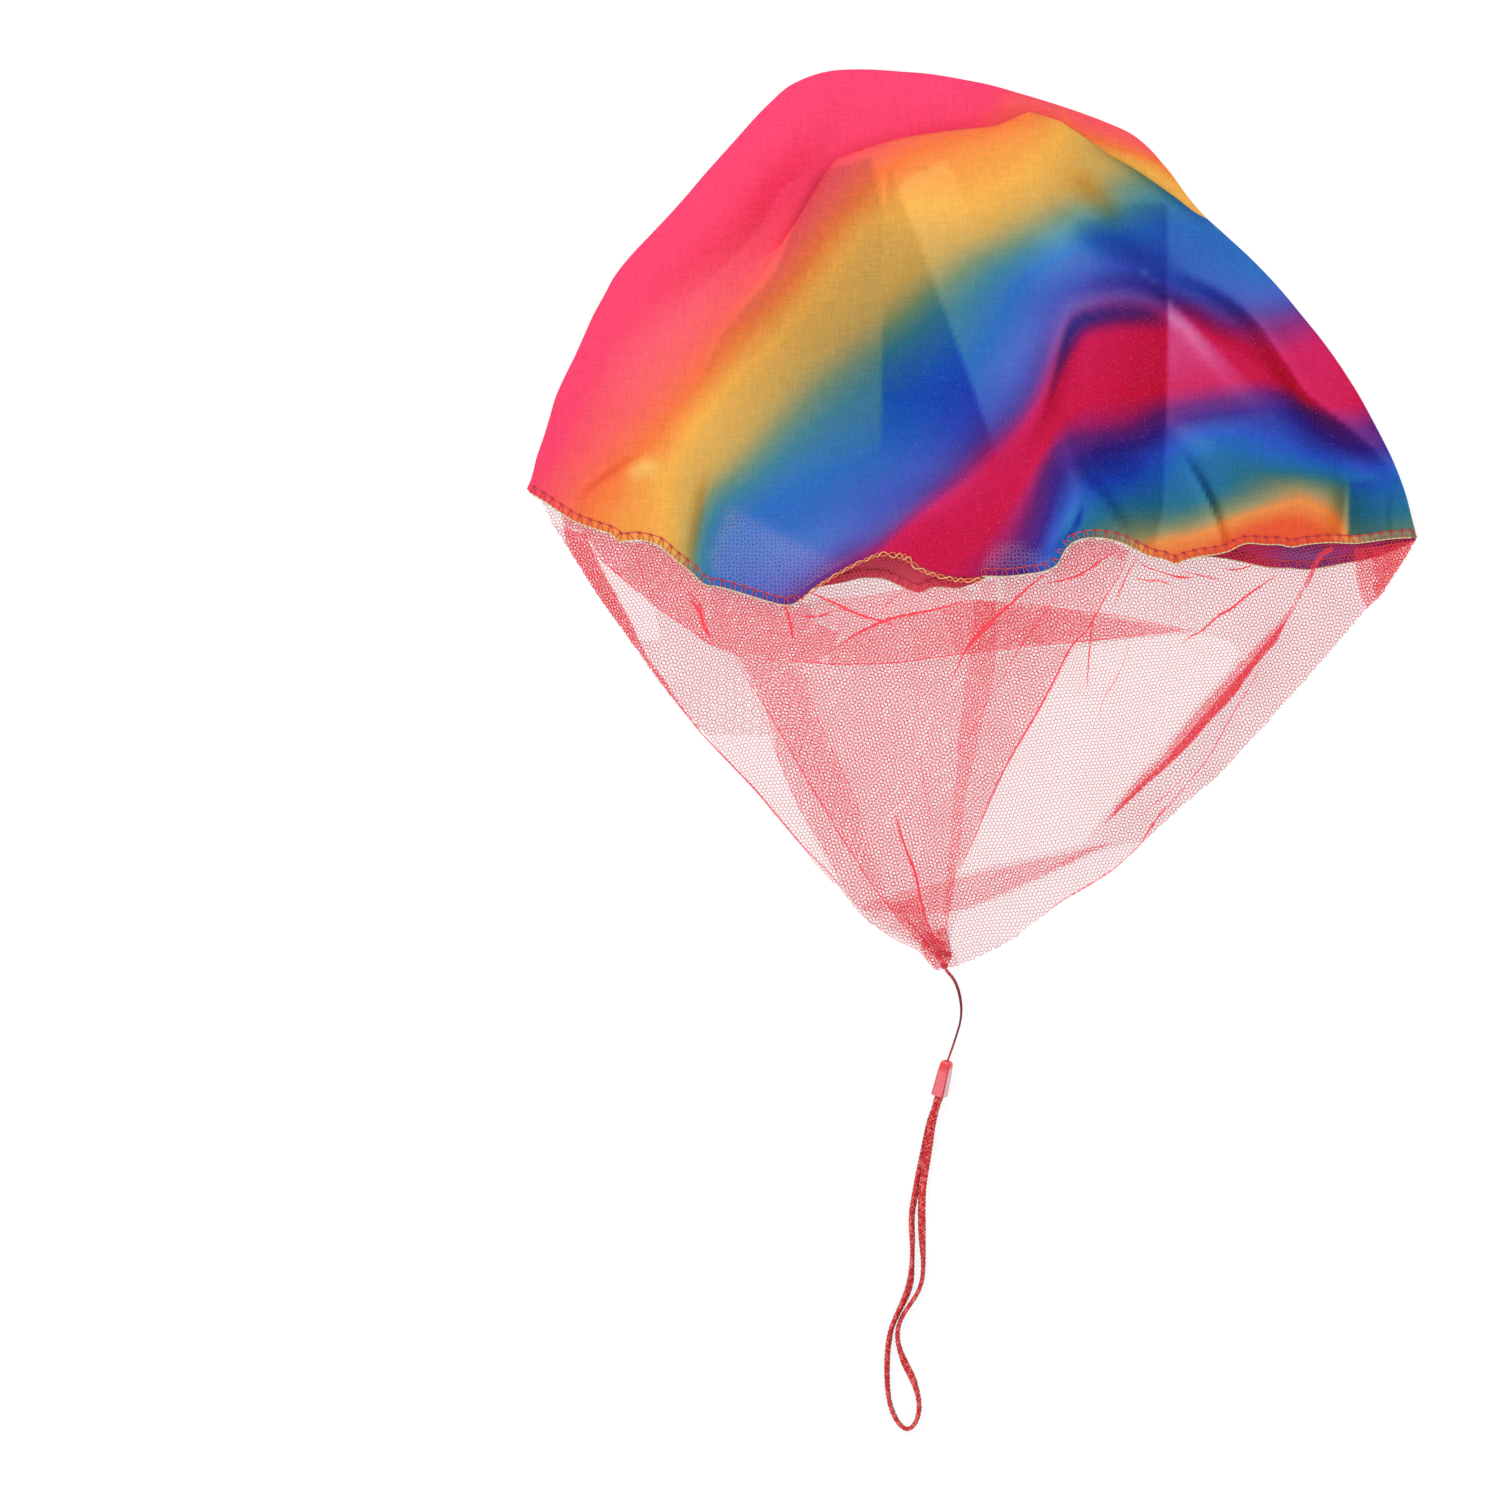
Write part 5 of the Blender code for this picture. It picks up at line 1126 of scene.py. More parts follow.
def tulle_group():
    """Six-sided gaps of strands over a panel, laid on the net's sheets from above."""
    sizes = dict.fromkeys(("Cell", "Squeeze", "Turn", "Strand", "Fold Strand", "Level", "Drift", "Thinning"), "Float")
    guides = dict.fromkeys(("Front", "Back", "Thin"), "Object")
    tree, ins = node_group("tulle", {**guides, **sizes, "Finish": "Material"})
    low = tree.grow("BoundBox", {"Geometry": ins["Geometry"]}, "Min")
    high = tree.other(low, "Max")
    middle = tree.vector("MULTIPLY", tree.vector("ADD", low, high), (0.5, 0.5, 0))
    reach = tree.other(tree.vector("DISTANCE", low, high), "Value")
    cell = ins["Cell"]
    rise = cell * ROW_SHARE * ins["Squeeze"]
    across = cell.maths("CEIL", reach / cell)
    up = cell.maths("CEIL", reach / rise)
    sizes = {"Size X": across * cell, "Size Y": up * rise, "Vertices X": across + 1, "Vertices Y": up + 1}
    grid = tree.grow("MeshGrid", sizes)
    row = cell.maths("MODULO", tree.grow("InputIndex"), up + 1)
    shift = tree.xyz(cell.maths("MODULO", row, 2) * cell * 0.5)
    grid = tree.grow("SetPosition", {"Geometry": grid, "Offset": shift})
    grid = tree.grow("Triangulate", {"Mesh": grid}, quad_method="SHORTEST_DIAGONAL")
    mesh = tree.grow("DualMesh", {"Mesh": grid})
    turn = {"Vector": tree.place(), "Angle": ins["Turn"]}
    turned = tree.node("ShaderNodeVectorRotate", {"rotation_type": "Z_AXIS"}, turn)
    drift = tree.node("ShaderNodeTexNoise", {}, {"Vector": turned, "Scale": 35.0, "Detail": 1.0}, 1)
    drift = tree.vector("MULTIPLY", tree.vector("SUBTRACT", drift, (0.5, 0.5, 0.5)), (1, 1, 0))
    drift = tree.scaled(drift, ins["Drift"])
    spot = tree.vector("ADD", tree.vector("ADD", turned, middle), drift)
    mesh = tree.grow("SetPosition", {"Geometry": mesh, "Position": spot})
    inside, _ = tree.fall(ins["Geometry"], tree.place())
    values = {"Geometry": mesh, "Selection": 1 - inside}
    mesh = tree.grow("DeleteGeometry", values, domain="POINT")
    thin = tree.grow("ObjectInfo", {"Object": ins["Thin"]}, "Geometry")
    thin, _ = tree.fall(thin, tree.place())
    strands = tree.grow("MeshToCurve", {"Mesh": mesh})
    values = {"Curve": strands, "Radius": 1 - thin * ins["Thinning"]}
    strands = tree.grow("SetCurveRadius", values)
    strands = tree.laid(strands, ins)
    neighbours = tree.grow("InputMeshEdgeNeighbors")
    rim = cell.maths("LESS_THAN", neighbours, 1.5)
    edge = tree.grow("MeshToCurve", {"Mesh": ins["Geometry"], "Selection": rim})
    edge = tree.grow("ResampleCurve", {"Curve": edge, "Length": FOLD_LINE_STEP}, mode="LENGTH")
    parts = (tree.ribbon(strands, ins["Strand"]), tree.ribbon(tree.laid(edge, ins), ins["Fold Strand"]))
    return tree.finish(parts, (ins["Finish"], ins["Finish"]))


def line_mesh(name, runs, **vectors):
    """Bare lines through the points of each run, with a vector for each point."""
    points = np.vstack(runs)
    edges, first = [], 0
    for run in runs:
        edges += [(first + i, first + i + 1) for i in range(len(run) - 1)]
        first += len(run)
    mesh = bpy.data.meshes.new(name)
    mesh.from_pydata(points.tolist(), edges, [])
    for label, values in vectors.items():
        attribute = mesh.attributes.new(label, "FLOAT_VECTOR", "POINT")
        attribute.data.foreach_set("vector", np.vstack(values).astype(np.float32).ravel())
    return mesh


def tube_mesh(name, runs, diameter, sides=10):
    """Closed round tubes along runs of points."""
    points, faces = [], []
    for run in runs:
        run = np.asarray(run, float)
        way = unit(np.gradient(run, axis=0))
        side = np.cross(way[0], (0, 0, 1) if abs(way[0][2]) < 0.9 else (1, 0, 0))
        first = len(points)
        for place, ahead in zip(run, way):
            side = side - ahead * np.dot(side, ahead)
            side /= np.linalg.norm(side)
            up = np.cross(side, ahead)
            for turn in np.linspace(0, 2 * math.pi, sides, endpoint=False):
                points.append(place + (side * math.cos(turn) + up * math.sin(turn)) * diameter / 2)
        for i in range(len(run) - 1):
            a = first + i * sides
            for j in range(sides):
                k = (j + 1) % sides
                faces.append((a + j, a + sides + j, a + sides + k, a + k))
        faces.append(tuple(range(first, first + sides)))
        faces.append(tuple(range(first + len(run) * sides - 1, first + (len(run) - 1) * sides - 1, -1)))
    return outward(mesh_from(name, points, faces))


def outward(mesh):
    """The mesh with its doubles merged and its faces turned outwards."""
    shape = bmesh.new()
    shape.from_mesh(mesh)
    bmesh.ops.remove_doubles(shape, verts=shape.verts, dist=1e-7)
    bmesh.ops.recalc_face_normals(shape, faces=shape.faces)
    shape.to_mesh(mesh)
    shape.free()
    return mesh


def crease_group():
    """Flat ribbons along drawn lines, widest at the middle and laid at a level of the net."""
    guides = dict.fromkeys(("Front", "Back"), "Object")
    tree, ins = node_group("creases", {**guides, "Level": "Float", "Finish": "Material"})
    lines = tree.grow("MeshToCurve", {"Mesh": ins["Geometry"]})
    share = tree.grow("SplineParameter")
    swell = share.maths("SINE", share * math.pi) ** 0.5
    wander = tree.node("ShaderNodeTexNoise", {}, {"Scale": 260.0, "Detail": 2.0})
    width = tree.named("width")
    values = {"Curve": lines, "Radius": width * swell * (0.55 + wander * 0.9)}
    lines = tree.grow("SetCurveRadius", values)
    ribbon = tree.ribbon(tree.laid(lines, ins), 1.0)
    return tree.finish((ribbon,), (ins["Finish"],))


def thread_finish(name, dark, light):
    """Sewing thread."""
    paint = Finish(name, roughness=0.55, sheen_weight=0.3)
    paint.set("Base Color", paint.mix(paint.noise(1500), linear(dark), linear(light)))
    paint.bump(paint.noise(9000, 1), 0.3, 0.0001)
    return paint.material


def hem_line(line, front, inset):
    """A line inside the hem's edge, and for each point the ways across the cloth and out of it."""
    u = np.linspace(*HEM_SPAN, HEM_POINTS)
    place = hem_point(line, u)
    way = unit(np.gradient(place, axis=0))
    place = place + np.column_stack([-way[:, 1], way[:, 0]]) * inset
    points = np.column_stack([place, mouth_height(u) if front else np.full_like(u, BACK_HEM_HEIGHT)])
    way = unit(np.gradient(points, axis=0))
    across = unit(np.cross((0, 0, 1), way))
    return points, across, np.cross(way, across)


def seam_group():
    """Overlock stitches along a hem: a needle line, dark tacks, rungs and an edge thread."""
    sizes = dict.fromkeys(("Pitch", "Width", "Needle", "Looper", "Edge", "Lift"), "Float")
    paints = dict.fromkeys(("Needle Finish", "Tack Finish", "Rung Finish", "Edge Finish"), "Material")
    tree, ins = node_group("overlock", {**sizes, **paints})
    line = tree.grow("MeshToCurve", {"Mesh": ins["Geometry"]})
    across = tree.named("across", "FLOAT_VECTOR")
    outward = tree.named("outward", "FLOAT_VECTOR")

    def beside(geometry, share, lift=1.0):
        way = tree.scaled(across, ins["Width"] * share)
        rise = tree.scaled(outward, ins["Lift"] * lift)
        offset = tree.vector("ADD", way, rise)
        return tree.grow("SetPosition", {"Geometry": geometry, "Offset": offset})

    even = tree.grow("ResampleCurve", {"Curve": line, "Length": ins["Pitch"] / 8}, mode="LENGTH")
    needle = tree.thread(beside(even, 0.42), ins["Needle"])
    edge = tree.thread(beside(even, -0.50, 0.6), ins["Edge"])
    spots = tree.grow("CurveToPoints", {"Curve": beside(line, 0.0), "Length": ins["Pitch"]}, mode="LENGTH")
    align = "FunctionNodeAlignRotationToVector"
    turn = tree.node(align, {"axis": "X"}, {"Vector": tree.other(spots, "Tangent")})
    turn = tree.node(align, {"axis": "Z", "pivot_axis": "X"}, {"Rotation": turn, "Vector": outward})

    def stitch(points, diameter):
        """A short thread through three points: shares of the pitch along and of the width across, and a height."""
        ends = [tree.xyz(ins["Pitch"] * x, ins["Width"] * y, ins["Lift"] * z) for x, y, z in points]
        arc = tree.grow("CurveQuadraticBezier", {"Resolution": 5, **dict(zip(("Start", "Middle", "End"), ends))})
        rod = tree.thread(arc, diameter, 5)
        return tree.grow("InstanceOnPoints", {"Points": spots, "Instance": rod, "Rotation": turn})

    tack = stitch(((-0.10, 0.42, 0.6), (0.02, 0.50, 2.2), (0.16, 0.40, 0.6)), ins["Needle"] * 1.35)
    rung = stitch(((0.02, 0.44, 0.6), (-0.05, 0.0, 1.4), (0.04, -0.50, 0.6)), ins["Looper"])
    slope = stitch(((0.02, 0.44, 0.6), (0.35, 0.20, 1.4), (0.52, -0.50, 0.5)), ins["Looper"])
    finishes = [ins[name] for name in ("Needle Finish", "Tack Finish", "Rung Finish", "Rung Finish", "Edge Finish")]
    return tree.finish((needle, tack, rung, slope, edge), finishes)


def build_seam():
    """The hem's cloth band, in the canopy's dyes, and the threads of its overlocked edge."""
    points, faces, dyes, hems = [], [], [], []
    for line, front, dye_at in ((FRONT_HEM, True, dye_field(FRONT_DYE_LINES)), (BACK_HEM, False, rear_dye)):
        middle, across, rise = hem_line(line, front, SEAM_WIDTH / 2)
        faces += sheet_faces(HEM_BAND_ROWS, HEM_POINTS, len(points) * HEM_POINTS)
        for share in np.linspace(0.5, -0.5, HEM_BAND_ROWS):
            points.append(middle + across * SEAM_WIDTH * share + rise * SEAM_LIFT * math.cos(share * 2.6))
        dyes += [dye_at(middle[:, :2])] * HEM_BAND_ROWS
        hems.append((middle, across, rise))
    dyes = np.concatenate(dyes)
    band = mesh_from("hem_band", np.vstack(points), faces)
    store(band, "dye", dyes / DYE_END)
    # The coral patch of the hem band is lightened, a painted light against the shadow of the front's hem
    store(band, "shade", CORAL_PAINTED_LIGHT * (dyes == CORAL_DYE))
    band = add_piece("hem_band", band, dyed_cloth(), "canopy_and_net")
    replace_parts(band, "hem_seam")
    paints = {
        "Needle Finish": thread_finish("needle_thread", (206, 34, 52), (238, 84, 92)),
        "Tack Finish": thread_finish("tack_thread", (150, 12, 26), (196, 34, 44)),
        "Rung Finish": thread_finish("looper_thread", (206, 36, 52), (240, 84, 88)),
        "Edge Finish": thread_finish("edge_thread", (206, 204, 132), (246, 240, 186)),
    }
    sizes = {
        "Pitch": STITCH_PITCH, "Width": SEAM_WIDTH, "Needle": NEEDLE_THREAD, "Looper": LOOPER_THREAD,
        "Edge": EDGE_THREAD, "Lift": SEAM_LIFT,
    }
    low, high = (int(share * HEM_POINTS) for share in TURNED_HEM)
    lines, crosses, rises = ([front[:low], front[high:], back] for front, back in zip(*hems))
    base = line_mesh("hem_threads", lines, across=crosses, outward=rises)
    made = grown("hem_threads", base, seam_group(), {**sizes, **paints})
    threads = add_piece("hem_threads", made, None, "canopy_and_net")
    return [band, threads, *turned_threads(*(table[low:high] for table in hems[0]))]


def turned_threads(middle, across, rise):
    """The two edge threads where the hem is turned over: they wind about each other and hang below the edge."""
    edge = middle - across * SEAM_WIDTH / 2
    way = np.append(0, np.cumsum(np.linalg.norm(np.diff(edge, axis=0), axis=1)))
    even = np.linspace(0, way[-1], int(way[-1] / TURNED_STEP))
    edge, across, rise = (
        np.column_stack([np.interp(even, way, column) for column in table.T]) for table in (edge, across, rise)
    )
    swing, drop = (np.interp(even / way[-1], *np.transpose(table)) for table in (TURNED_SWINGS, TURNED_DROPS))
    pieces = []
    for name, side, dark, light in TURNED_THREADS:
        turn = 2 * math.pi * even / TURNED_PITCH + side + 0.8 * np.sin(even * 610)
        aside = (swing * np.sin(turn) - drop)[:, None] * across
        thread = edge + aside + (0.0006 + 0.0003 * np.cos(turn))[:, None] * rise
        mesh = tube_mesh(name, [thread], EDGE_THREAD, 8)
        pieces.append(add_piece(name, mesh, thread_finish(name, dark, light), "canopy_and_net"))
    return pieces


def dark_cord():
    """The thin cord's twisted yarn, red at its ends and dark red between, with lighter fibres."""
    paint = Finish("dark_cord", roughness=0.5, sheen_weight=0.1, specular_ior_level=0.3)
    fibre = paint.noise(2600)
    height = paint.other(paint.node("ShaderNodeSeparateXYZ", {}, {0: paint.place}), "Y")
    middle, half = (KNOT_CENTRE.y + FERRULE_TOP.y) / 2, (KNOT_CENTRE.y - FERRULE_TOP.y) / 2
    end = ((height - middle) / half) ** 2
    dark = paint.mix(fibre, linear((96, 18, 26)), linear((166, 52, 58)))
    light = paint.mix(fibre, linear((176, 26, 40)), linear((240, 84, 84)))
    paint.set("Base Color", paint.mix(end.smooth(0.12, 1.0), dark, light))
    paint.bump(fibre, 0.5, 0.0002)
    return paint.material


def cord_lines():
    """The strand from the ferrule up to the knot, round it and back, and the line between its two runs."""
    share = np.linspace(0, 1, CORD_POINTS)
    centre = along(smooth_line(CORD_ROUTE), share)
    way, level, upright = ways_along(centre)
    twist = (CORD_TWIST * ease(*CORD_TWIST_SHARES, share))[:, None]
    offset = (level * np.cos(twist) + upright * np.sin(twist)) * CORD_SPACING / 2
    turn = np.linspace(0, math.pi, 16)[1:-1, None]
    bend = centre[0] + offset[0] * np.cos(turn) - way[0] * CORD_SPACING / 2 * np.sin(turn)
    return np.vstack([(centre + offset)[::-1], bend, centre - offset]), centre[::-1]


def knot_turns(centre, reach, thread):
    """Turns of cord drawn tight round a knot, each a tilted ring."""
    runs = []
    for lean, roll in ((0.9, 0.35), (2.2, -0.5), (0.1, 1.2)):
        turn = np.linspace(0, 2 * math.pi, 48)
        radius = reach - thread / 2 + 0.00008 * np.sin(3 * turn + lean)
        ring = np.column_stack([radius * np.cos(turn), radius * np.sin(turn), 0.0002 * np.sin(2 * turn)])
        turned = Matrix.Rotation(lean, 3, "X") @ Matrix.Rotation(roll, 3, "Y")
        runs.append(ring @ np.array(turned).T + np.array(centre))
    return runs


def build_cord():
    """The doubled cord with its hitch round the net, its knot, and its stop knot in the ferrule."""
    finish = dark_cord()
    line, middle = cord_lines()
    strand = tube_mesh("tie_cord_strand", [line], CORD_DIAMETER)
    cord = add_piece("tie_cord_strand", strand, finish, "cord")
    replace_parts(cord, "tie_cord")
    turn = np.linspace(0, HITCH_TURNS, 96)
    angle = 2 * math.pi * turn + math.pi / 2
    reach = NET_THICKNESS / 2 + CORD_DIAMETER / 2
    hitch = np.column_stack([
        GATHER_X + (WAIST_WIDTH / 2 + reach) * np.cos(angle),
        NET_END_Y + FLARE_LENGTH + WAIST_LENGTH / 2 - HITCH_PITCH * (turn - HITCH_TURNS / 2),
        WAIST_AXIS_Z + (WAIST_DEPTH / 2 + reach) * np.sin(angle),
    ])
    knot = knot_turns(KNOT_CENTRE, KNOT_DIAMETER / 2, KNOT_CORD)
    spot = ferrule_frame()
    centre = spot @ Vector((0, 0, KNOT_CHAMBER_TOP + STOP_KNOT_GAP + STOP_KNOT_DIAMETER / 2))
    neck = [tuple(spot @ Vector((0, 0, z))) for z in np.linspace(CLEARANCE, KNOT_CHAMBER_TOP + STOP_KNOT_CORD, 8)]
    stop_knot = [*knot_turns(centre, STOP_KNOT_DIAMETER / 2, STOP_KNOT_CORD), neck]
    for name, runs, thickness, body, node in (
        ("hitch_turns", [hitch], CORD_DIAMETER, "canopy_and_net", "cord_hitch"),
        ("knot_turns", knot, KNOT_CORD, "knot", "cord_knot"),
        ("stop_knot_turns", stop_knot, STOP_KNOT_CORD, "ferrule_and_strap", "cord_stop_knot"),
    ):
        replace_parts(add_piece(name, tube_mesh(name, runs, thickness), finish, body), node)


def ferrule_frame():
    """World placement of the ferrule: +Z runs from its rounded top to its open end."""
    down = Vector((
        -math.sin(FERRULE_HEADING) * math.cos(FERRULE_PITCH),
        -math.cos(FERRULE_HEADING) * math.cos(FERRULE_PITCH),
        -math.sin(FERRULE_PITCH),
    ))
    right = Vector((math.cos(FERRULE_HEADING), -math.sin(FERRULE_HEADING), 0))
    turned = Matrix((right, down.cross(right), down)).transposed()
    return Matrix.Translation(FERRULE_TOP) @ turned.to_4x4() @ Matrix.Rotation(FERRULE_ROLL, 4, "Z")


def section(width, depth, z, squareness):
    """A rounded rectangle across the ferrule."""
    turn = 2 * math.pi * np.arange(FERRULE_SIDES) / FERRULE_SIDES
    x = width / 2 * np.sign(np.cos(turn)) * np.abs(np.cos(turn)) ** (2 / squareness)
    y = depth / 2 * np.sign(np.sin(turn)) * np.abs(np.sin(turn)) ** (2 / squareness)
    return np.column_stack([x, y, np.full(FERRULE_SIDES, z)])


def red_plastic():
    """The sleeve's clear red plastic: deeper at its top and along its corners, with a painted highlight that makes the
    narrow flank paler.
    """
    paint = Finish("red_plastic", roughness=0.28, coat_weight=0.3, coat_roughness=0.12)
    cloud = paint.noise(700)
    way = paint.attribute("way")
    top = paint.mix(cloud, linear((250, 48, 62)), linear((255, 80, 90)))
    low = paint.mix(cloud, linear((255, 98, 112)), linear((255, 138, 148)))
    body = paint.mix(way.smooth(0.12, 0.40), top, low)
    # The narrow flank is paled towards pink, a painted highlight
    body = paint.mix(paint.attribute("flank") * 0.85, body, linear((255, 196, 206)))
    paint.set("Base Color", paint.mix(paint.attribute("corner"), body, linear((206, 10, 30))))
    paint.set("Alpha", 0.94)
    paint.bump(paint.noise(1800), 0.08, 0.0003)
    return paint.material


def build_ferrule():
    """The moulded sleeve, with its domed top, its flanks and the hollow that the cord and strap sit in."""
    rows = []
    for way, share in FERRULE_DOME_SHARES:
        size = FERRULE_TOP_WIDTH * share, FERRULE_TOP_DEPTH * share
        rows.append(section(*size, way * FERRULE_ROUNDING, DOME_SQUARENESS + way))
    for share in FERRULE_ROWS:
        z = FERRULE_ROUNDING + share * (FERRULE_LENGTH - FERRULE_ROUNDING)
        width = FERRULE_TOP_WIDTH + share * (FERRULE_WIDTH - FERRULE_TOP_WIDTH)
        depth = FERRULE_TOP_DEPTH + share * (FERRULE_DEPTH - FERRULE_TOP_DEPTH)
        square = DOME_SQUARENESS + 1 + ease(0, 0.3, share) * (BODY_SQUARENESS - DOME_SQUARENESS + 1)
        rows.append(section(width, depth, z, square))
    rim = section(FERRULE_WIDTH, FERRULE_DEPTH, FERRULE_LENGTH - FERRULE_LIP, BODY_SQUARENESS + 2)
    rows += [rim, rim * (0.97, 0.97, 1) + (0, 0, FERRULE_LIP)]
    socket_end = FERRULE_LENGTH - SOCKET_LENGTH
    taper = (SOCKET_DEPTH - CORD_HOLE_DIAMETER) / 4
    for width, depth, z, squareness in (
        (SOCKET_WIDTH, SOCKET_DEPTH, FERRULE_LENGTH, BODY_SQUARENESS),
        (SOCKET_WIDTH, SOCKET_DEPTH, socket_end, BODY_SQUARENESS),
        (SOCKET_DEPTH, SOCKET_DEPTH, socket_end - (SOCKET_WIDTH - SOCKET_DEPTH) / 2, OVAL),
        (SOCKET_DEPTH, SOCKET_DEPTH, KNOT_CHAMBER_TOP + taper, OVAL),
        (CORD_HOLE_DIAMETER, CORD_HOLE_DIAMETER, KNOT_CHAMBER_TOP, OVAL),
        (CORD_HOLE_DIAMETER, CORD_HOLE_DIAMETER, 0, OVAL),
    ):
        rows.append(section(width, depth, z, squareness))
    faces = []
    for row in range(len(rows)):
        a, b = row * FERRULE_SIDES, (row + 1) % len(rows) * FERRULE_SIDES
        for i in range(FERRULE_SIDES):
            j = (i + 1) % FERRULE_SIDES
            faces.append((a + i, a + j, b + j, b + i))
    points = np.vstack(rows)
    mesh = mesh_from("ferrule_sleeve", points, faces)
    way = points[:, 2] / FERRULE_LENGTH
    size = [np.interp(way, (0, 1), sizes) / 2 for sizes in (
        (FERRULE_TOP_WIDTH, FERRULE_WIDTH), (FERRULE_TOP_DEPTH, FERRULE_DEPTH))]
    across, deep = points[:, 0] / size[0], points[:, 1] / size[1]
    corner = np.minimum(np.abs(across), np.abs(deep))
    store(mesh, "way", way)
    store(mesh, "corner", ease(0.74, 0.88, corner))
    # flank marks the narrow flank for its painted highlight
    store(mesh, "flank", ease(0.90, 0.98, across) * ease(0.1, 0.3, way))
    mesh.transform(ferrule_frame())
    piece = add_piece("ferrule_sleeve", outward(mesh), red_plastic(), "ferrule_and_strap")
    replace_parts(piece, "ferrule")


def strap_line():
    """The strap's middle line, and for each point the ways across its width and out of its face."""
    spot = ferrule_frame()
    inside = []
    for side in (-1, 1):
        y = side * STRAP_LAYER_SPACING / 2
        ends = [spot @ Vector((0, y, z)) for z in (FERRULE_LENGTH - STRAP_REACH, FERRULE_LENGTH)]
        tilt = math.degrees(FERRULE_ROLL) if side < 0 else 180 - math.degrees(FERRULE_ROLL)
        inside.append([(*end, tilt) for end in ends])
    route = [(*plan((x, y))[0], height * MILLIMETRE + STRAP_LIFT, tilt) for x, y, height, tilt in STRAP_ROUTE]
    dense = smooth_line([*inside[0], *route, *inside[1][::-1]])
    line = along(dense, np.linspace(0, 1, STRAP_POINTS))
    way, level, upright = ways_along(line[:, :3])
    tilt = np.radians(line[:, 3:])
    across = level * np.cos(tilt) + upright * np.sin(tilt)
    return line[:, :3], across, np.cross(across, way)


def braid_group():
    """Yarns that wind both ways round a flat cord and pass over and under each other."""
    sizes = dict.fromkeys(("Width", "Thickness", "Lay", "Yarns", "Yarn", "Weave"), "Float")
    tree, ins = node_group("braid", {**sizes, "Finish": "Material"})
    line = tree.grow("MeshToCurve", {"Mesh": ins["Geometry"]})
    line = tree.grow("ResampleCurve", {"Curve": line, "Length": ins["Lay"] / 14}, mode="LENGTH")
    across = tree.named("across", "FLOAT_VECTOR")
    outward = tree.named("outward", "FLOAT_VECTOR")
    copies = tree.grow("DuplicateElements", {"Geometry": line, "Amount": ins["Yarns"] * 2}, domain="SPLINE")
    index = tree.other(copies, "Duplicate Index")
    length = tree.other(tree.grow("SplineParameter"), "Length")
    hand = index.maths("MODULO", index, 2) * 2 - 1
    number = index.maths("FLOOR", index / 2)
    lead = length / ins["Lay"]
    angle = (lead * hand + number / ins["Yarns"]) * (2 * math.pi)
    over = lead * 0.5 * ins["Yarns"] * 2 * math.pi
    swell = over.maths("SINE", over) * hand * ins["Weave"]
    x = angle.maths("COSINE", angle) * (ins["Width"] * 0.5 - ins["Yarn"] * 0.5 + swell * 0.3)
    y = angle.maths("SINE", angle) * (ins["Thickness"] * 0.5 - ins["Yarn"] * 0.5 + swell)
    aside = tree.scaled(across, x)
    rise = tree.scaled(outward, y)
    moved = tree.grow("SetPosition", {"Geometry": copies, "Offset": tree.vector("ADD", aside, rise)})
    return tree.finish((tree.thread(moved, ins["Yarn"], 5),), (ins["Finish"],))


def braid_finish():
    """The strap's glossy yarn: painted light on its crowns, flecked with painted glints, and painted shade down its
    sides.
    """
    paint = Finish("red_braid", roughness=0.45, sheen_weight=0.1, specular_ior_level=0.4)
    face = paint.other(paint.node("ShaderNodeNewGeometry"), "Normal")
    crown = paint.other(paint.node("ShaderNodeSeparateXYZ", {}, {0: face}), "Z")
    tick = paint.noise(760).smooth(0.44, 0.64)
    top = paint.mix(tick, linear((220, 28, 40)), linear((255, 116, 108)))
    # Upward-facing yarn gets the lit colour and the sides the dark red: painted light and painted shade
    paint.set("Base Color", paint.mix(crown.smooth(0.10, 0.80), linear((112, 8, 18)), top))
    paint.bump(paint.noise(9000, 1), 0.3, 0.0001)
    return paint.material


def build_strap():
    """The braided strap: one flat cord from the ferrule, round the loop and back."""
    line, across, rise = strap_line()
    base = line_mesh("strap_braid", [line], across=[across], outward=[rise])
    inputs = {
        "Width": BRAID_WIDTH, "Thickness": BRAID_THICKNESS, "Lay": BRAID_LAY, "Yarns": float(BRAID_YARNS),
        "Yarn": BRAID_YARN, "Weave": BRAID_WEAVE, "Finish": braid_finish(),
    }
    made = grown("strap_braid", base, braid_group(), inputs)
    strap = add_piece("strap_braid", made, None, "ferrule_and_strap")
    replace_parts(strap, "strap_loop")


def red_net(name, dark, light):
    """The net's fine yarn, with a faint painted glow: its own colour is emitted, which lifts the strands that shade
    each other.
    """
    paint = Finish(name, roughness=0.6, specular_ior_level=0.2, emission_strength=0.12)
    colour = paint.mix(paint.noise(900, 1), linear(dark), linear(light))
    paint.set("Base Color", colour)
    # The yarn's colour is also emitted, a painted glow against the shade of the layers
    paint.set("Emission Color", colour)
    return paint.material


def neck_strands():
    """The gathered neck's strands: their lines from side to side of it, and half the width of each."""
    left, right = (drawn(edge) for edge in NECK_EDGES)
    chance = np.random.default_rng(5)
    lines, widths = [], []
    for number in range(NECK_STRANDS):
        share = (number + chance.uniform(0.1, 0.9)) / NECK_STRANDS
        start = int(chance.uniform(0, NECK_LATEST_START))
        lines.append(((1 - share) * left + share * right)[start:])
        widths.append(chance.uniform(*NECK_HALF_WIDTHS))
    return lines, widths


def ribbons(name, lines, widths, guides, level, finish):
    """Flat ribbons along lines in plan, each of its width, laid at a level on the net's sheets."""
    base = line_mesh(name, [np.column_stack([line, np.zeros(len(line))]) for line in lines])
    store(base, "width", np.concatenate([np.full(len(line), width) for line, width in zip(lines, widths)]))
    return grown(name, base, crease_group(), {**guides, "Level": level, "Finish": finish})


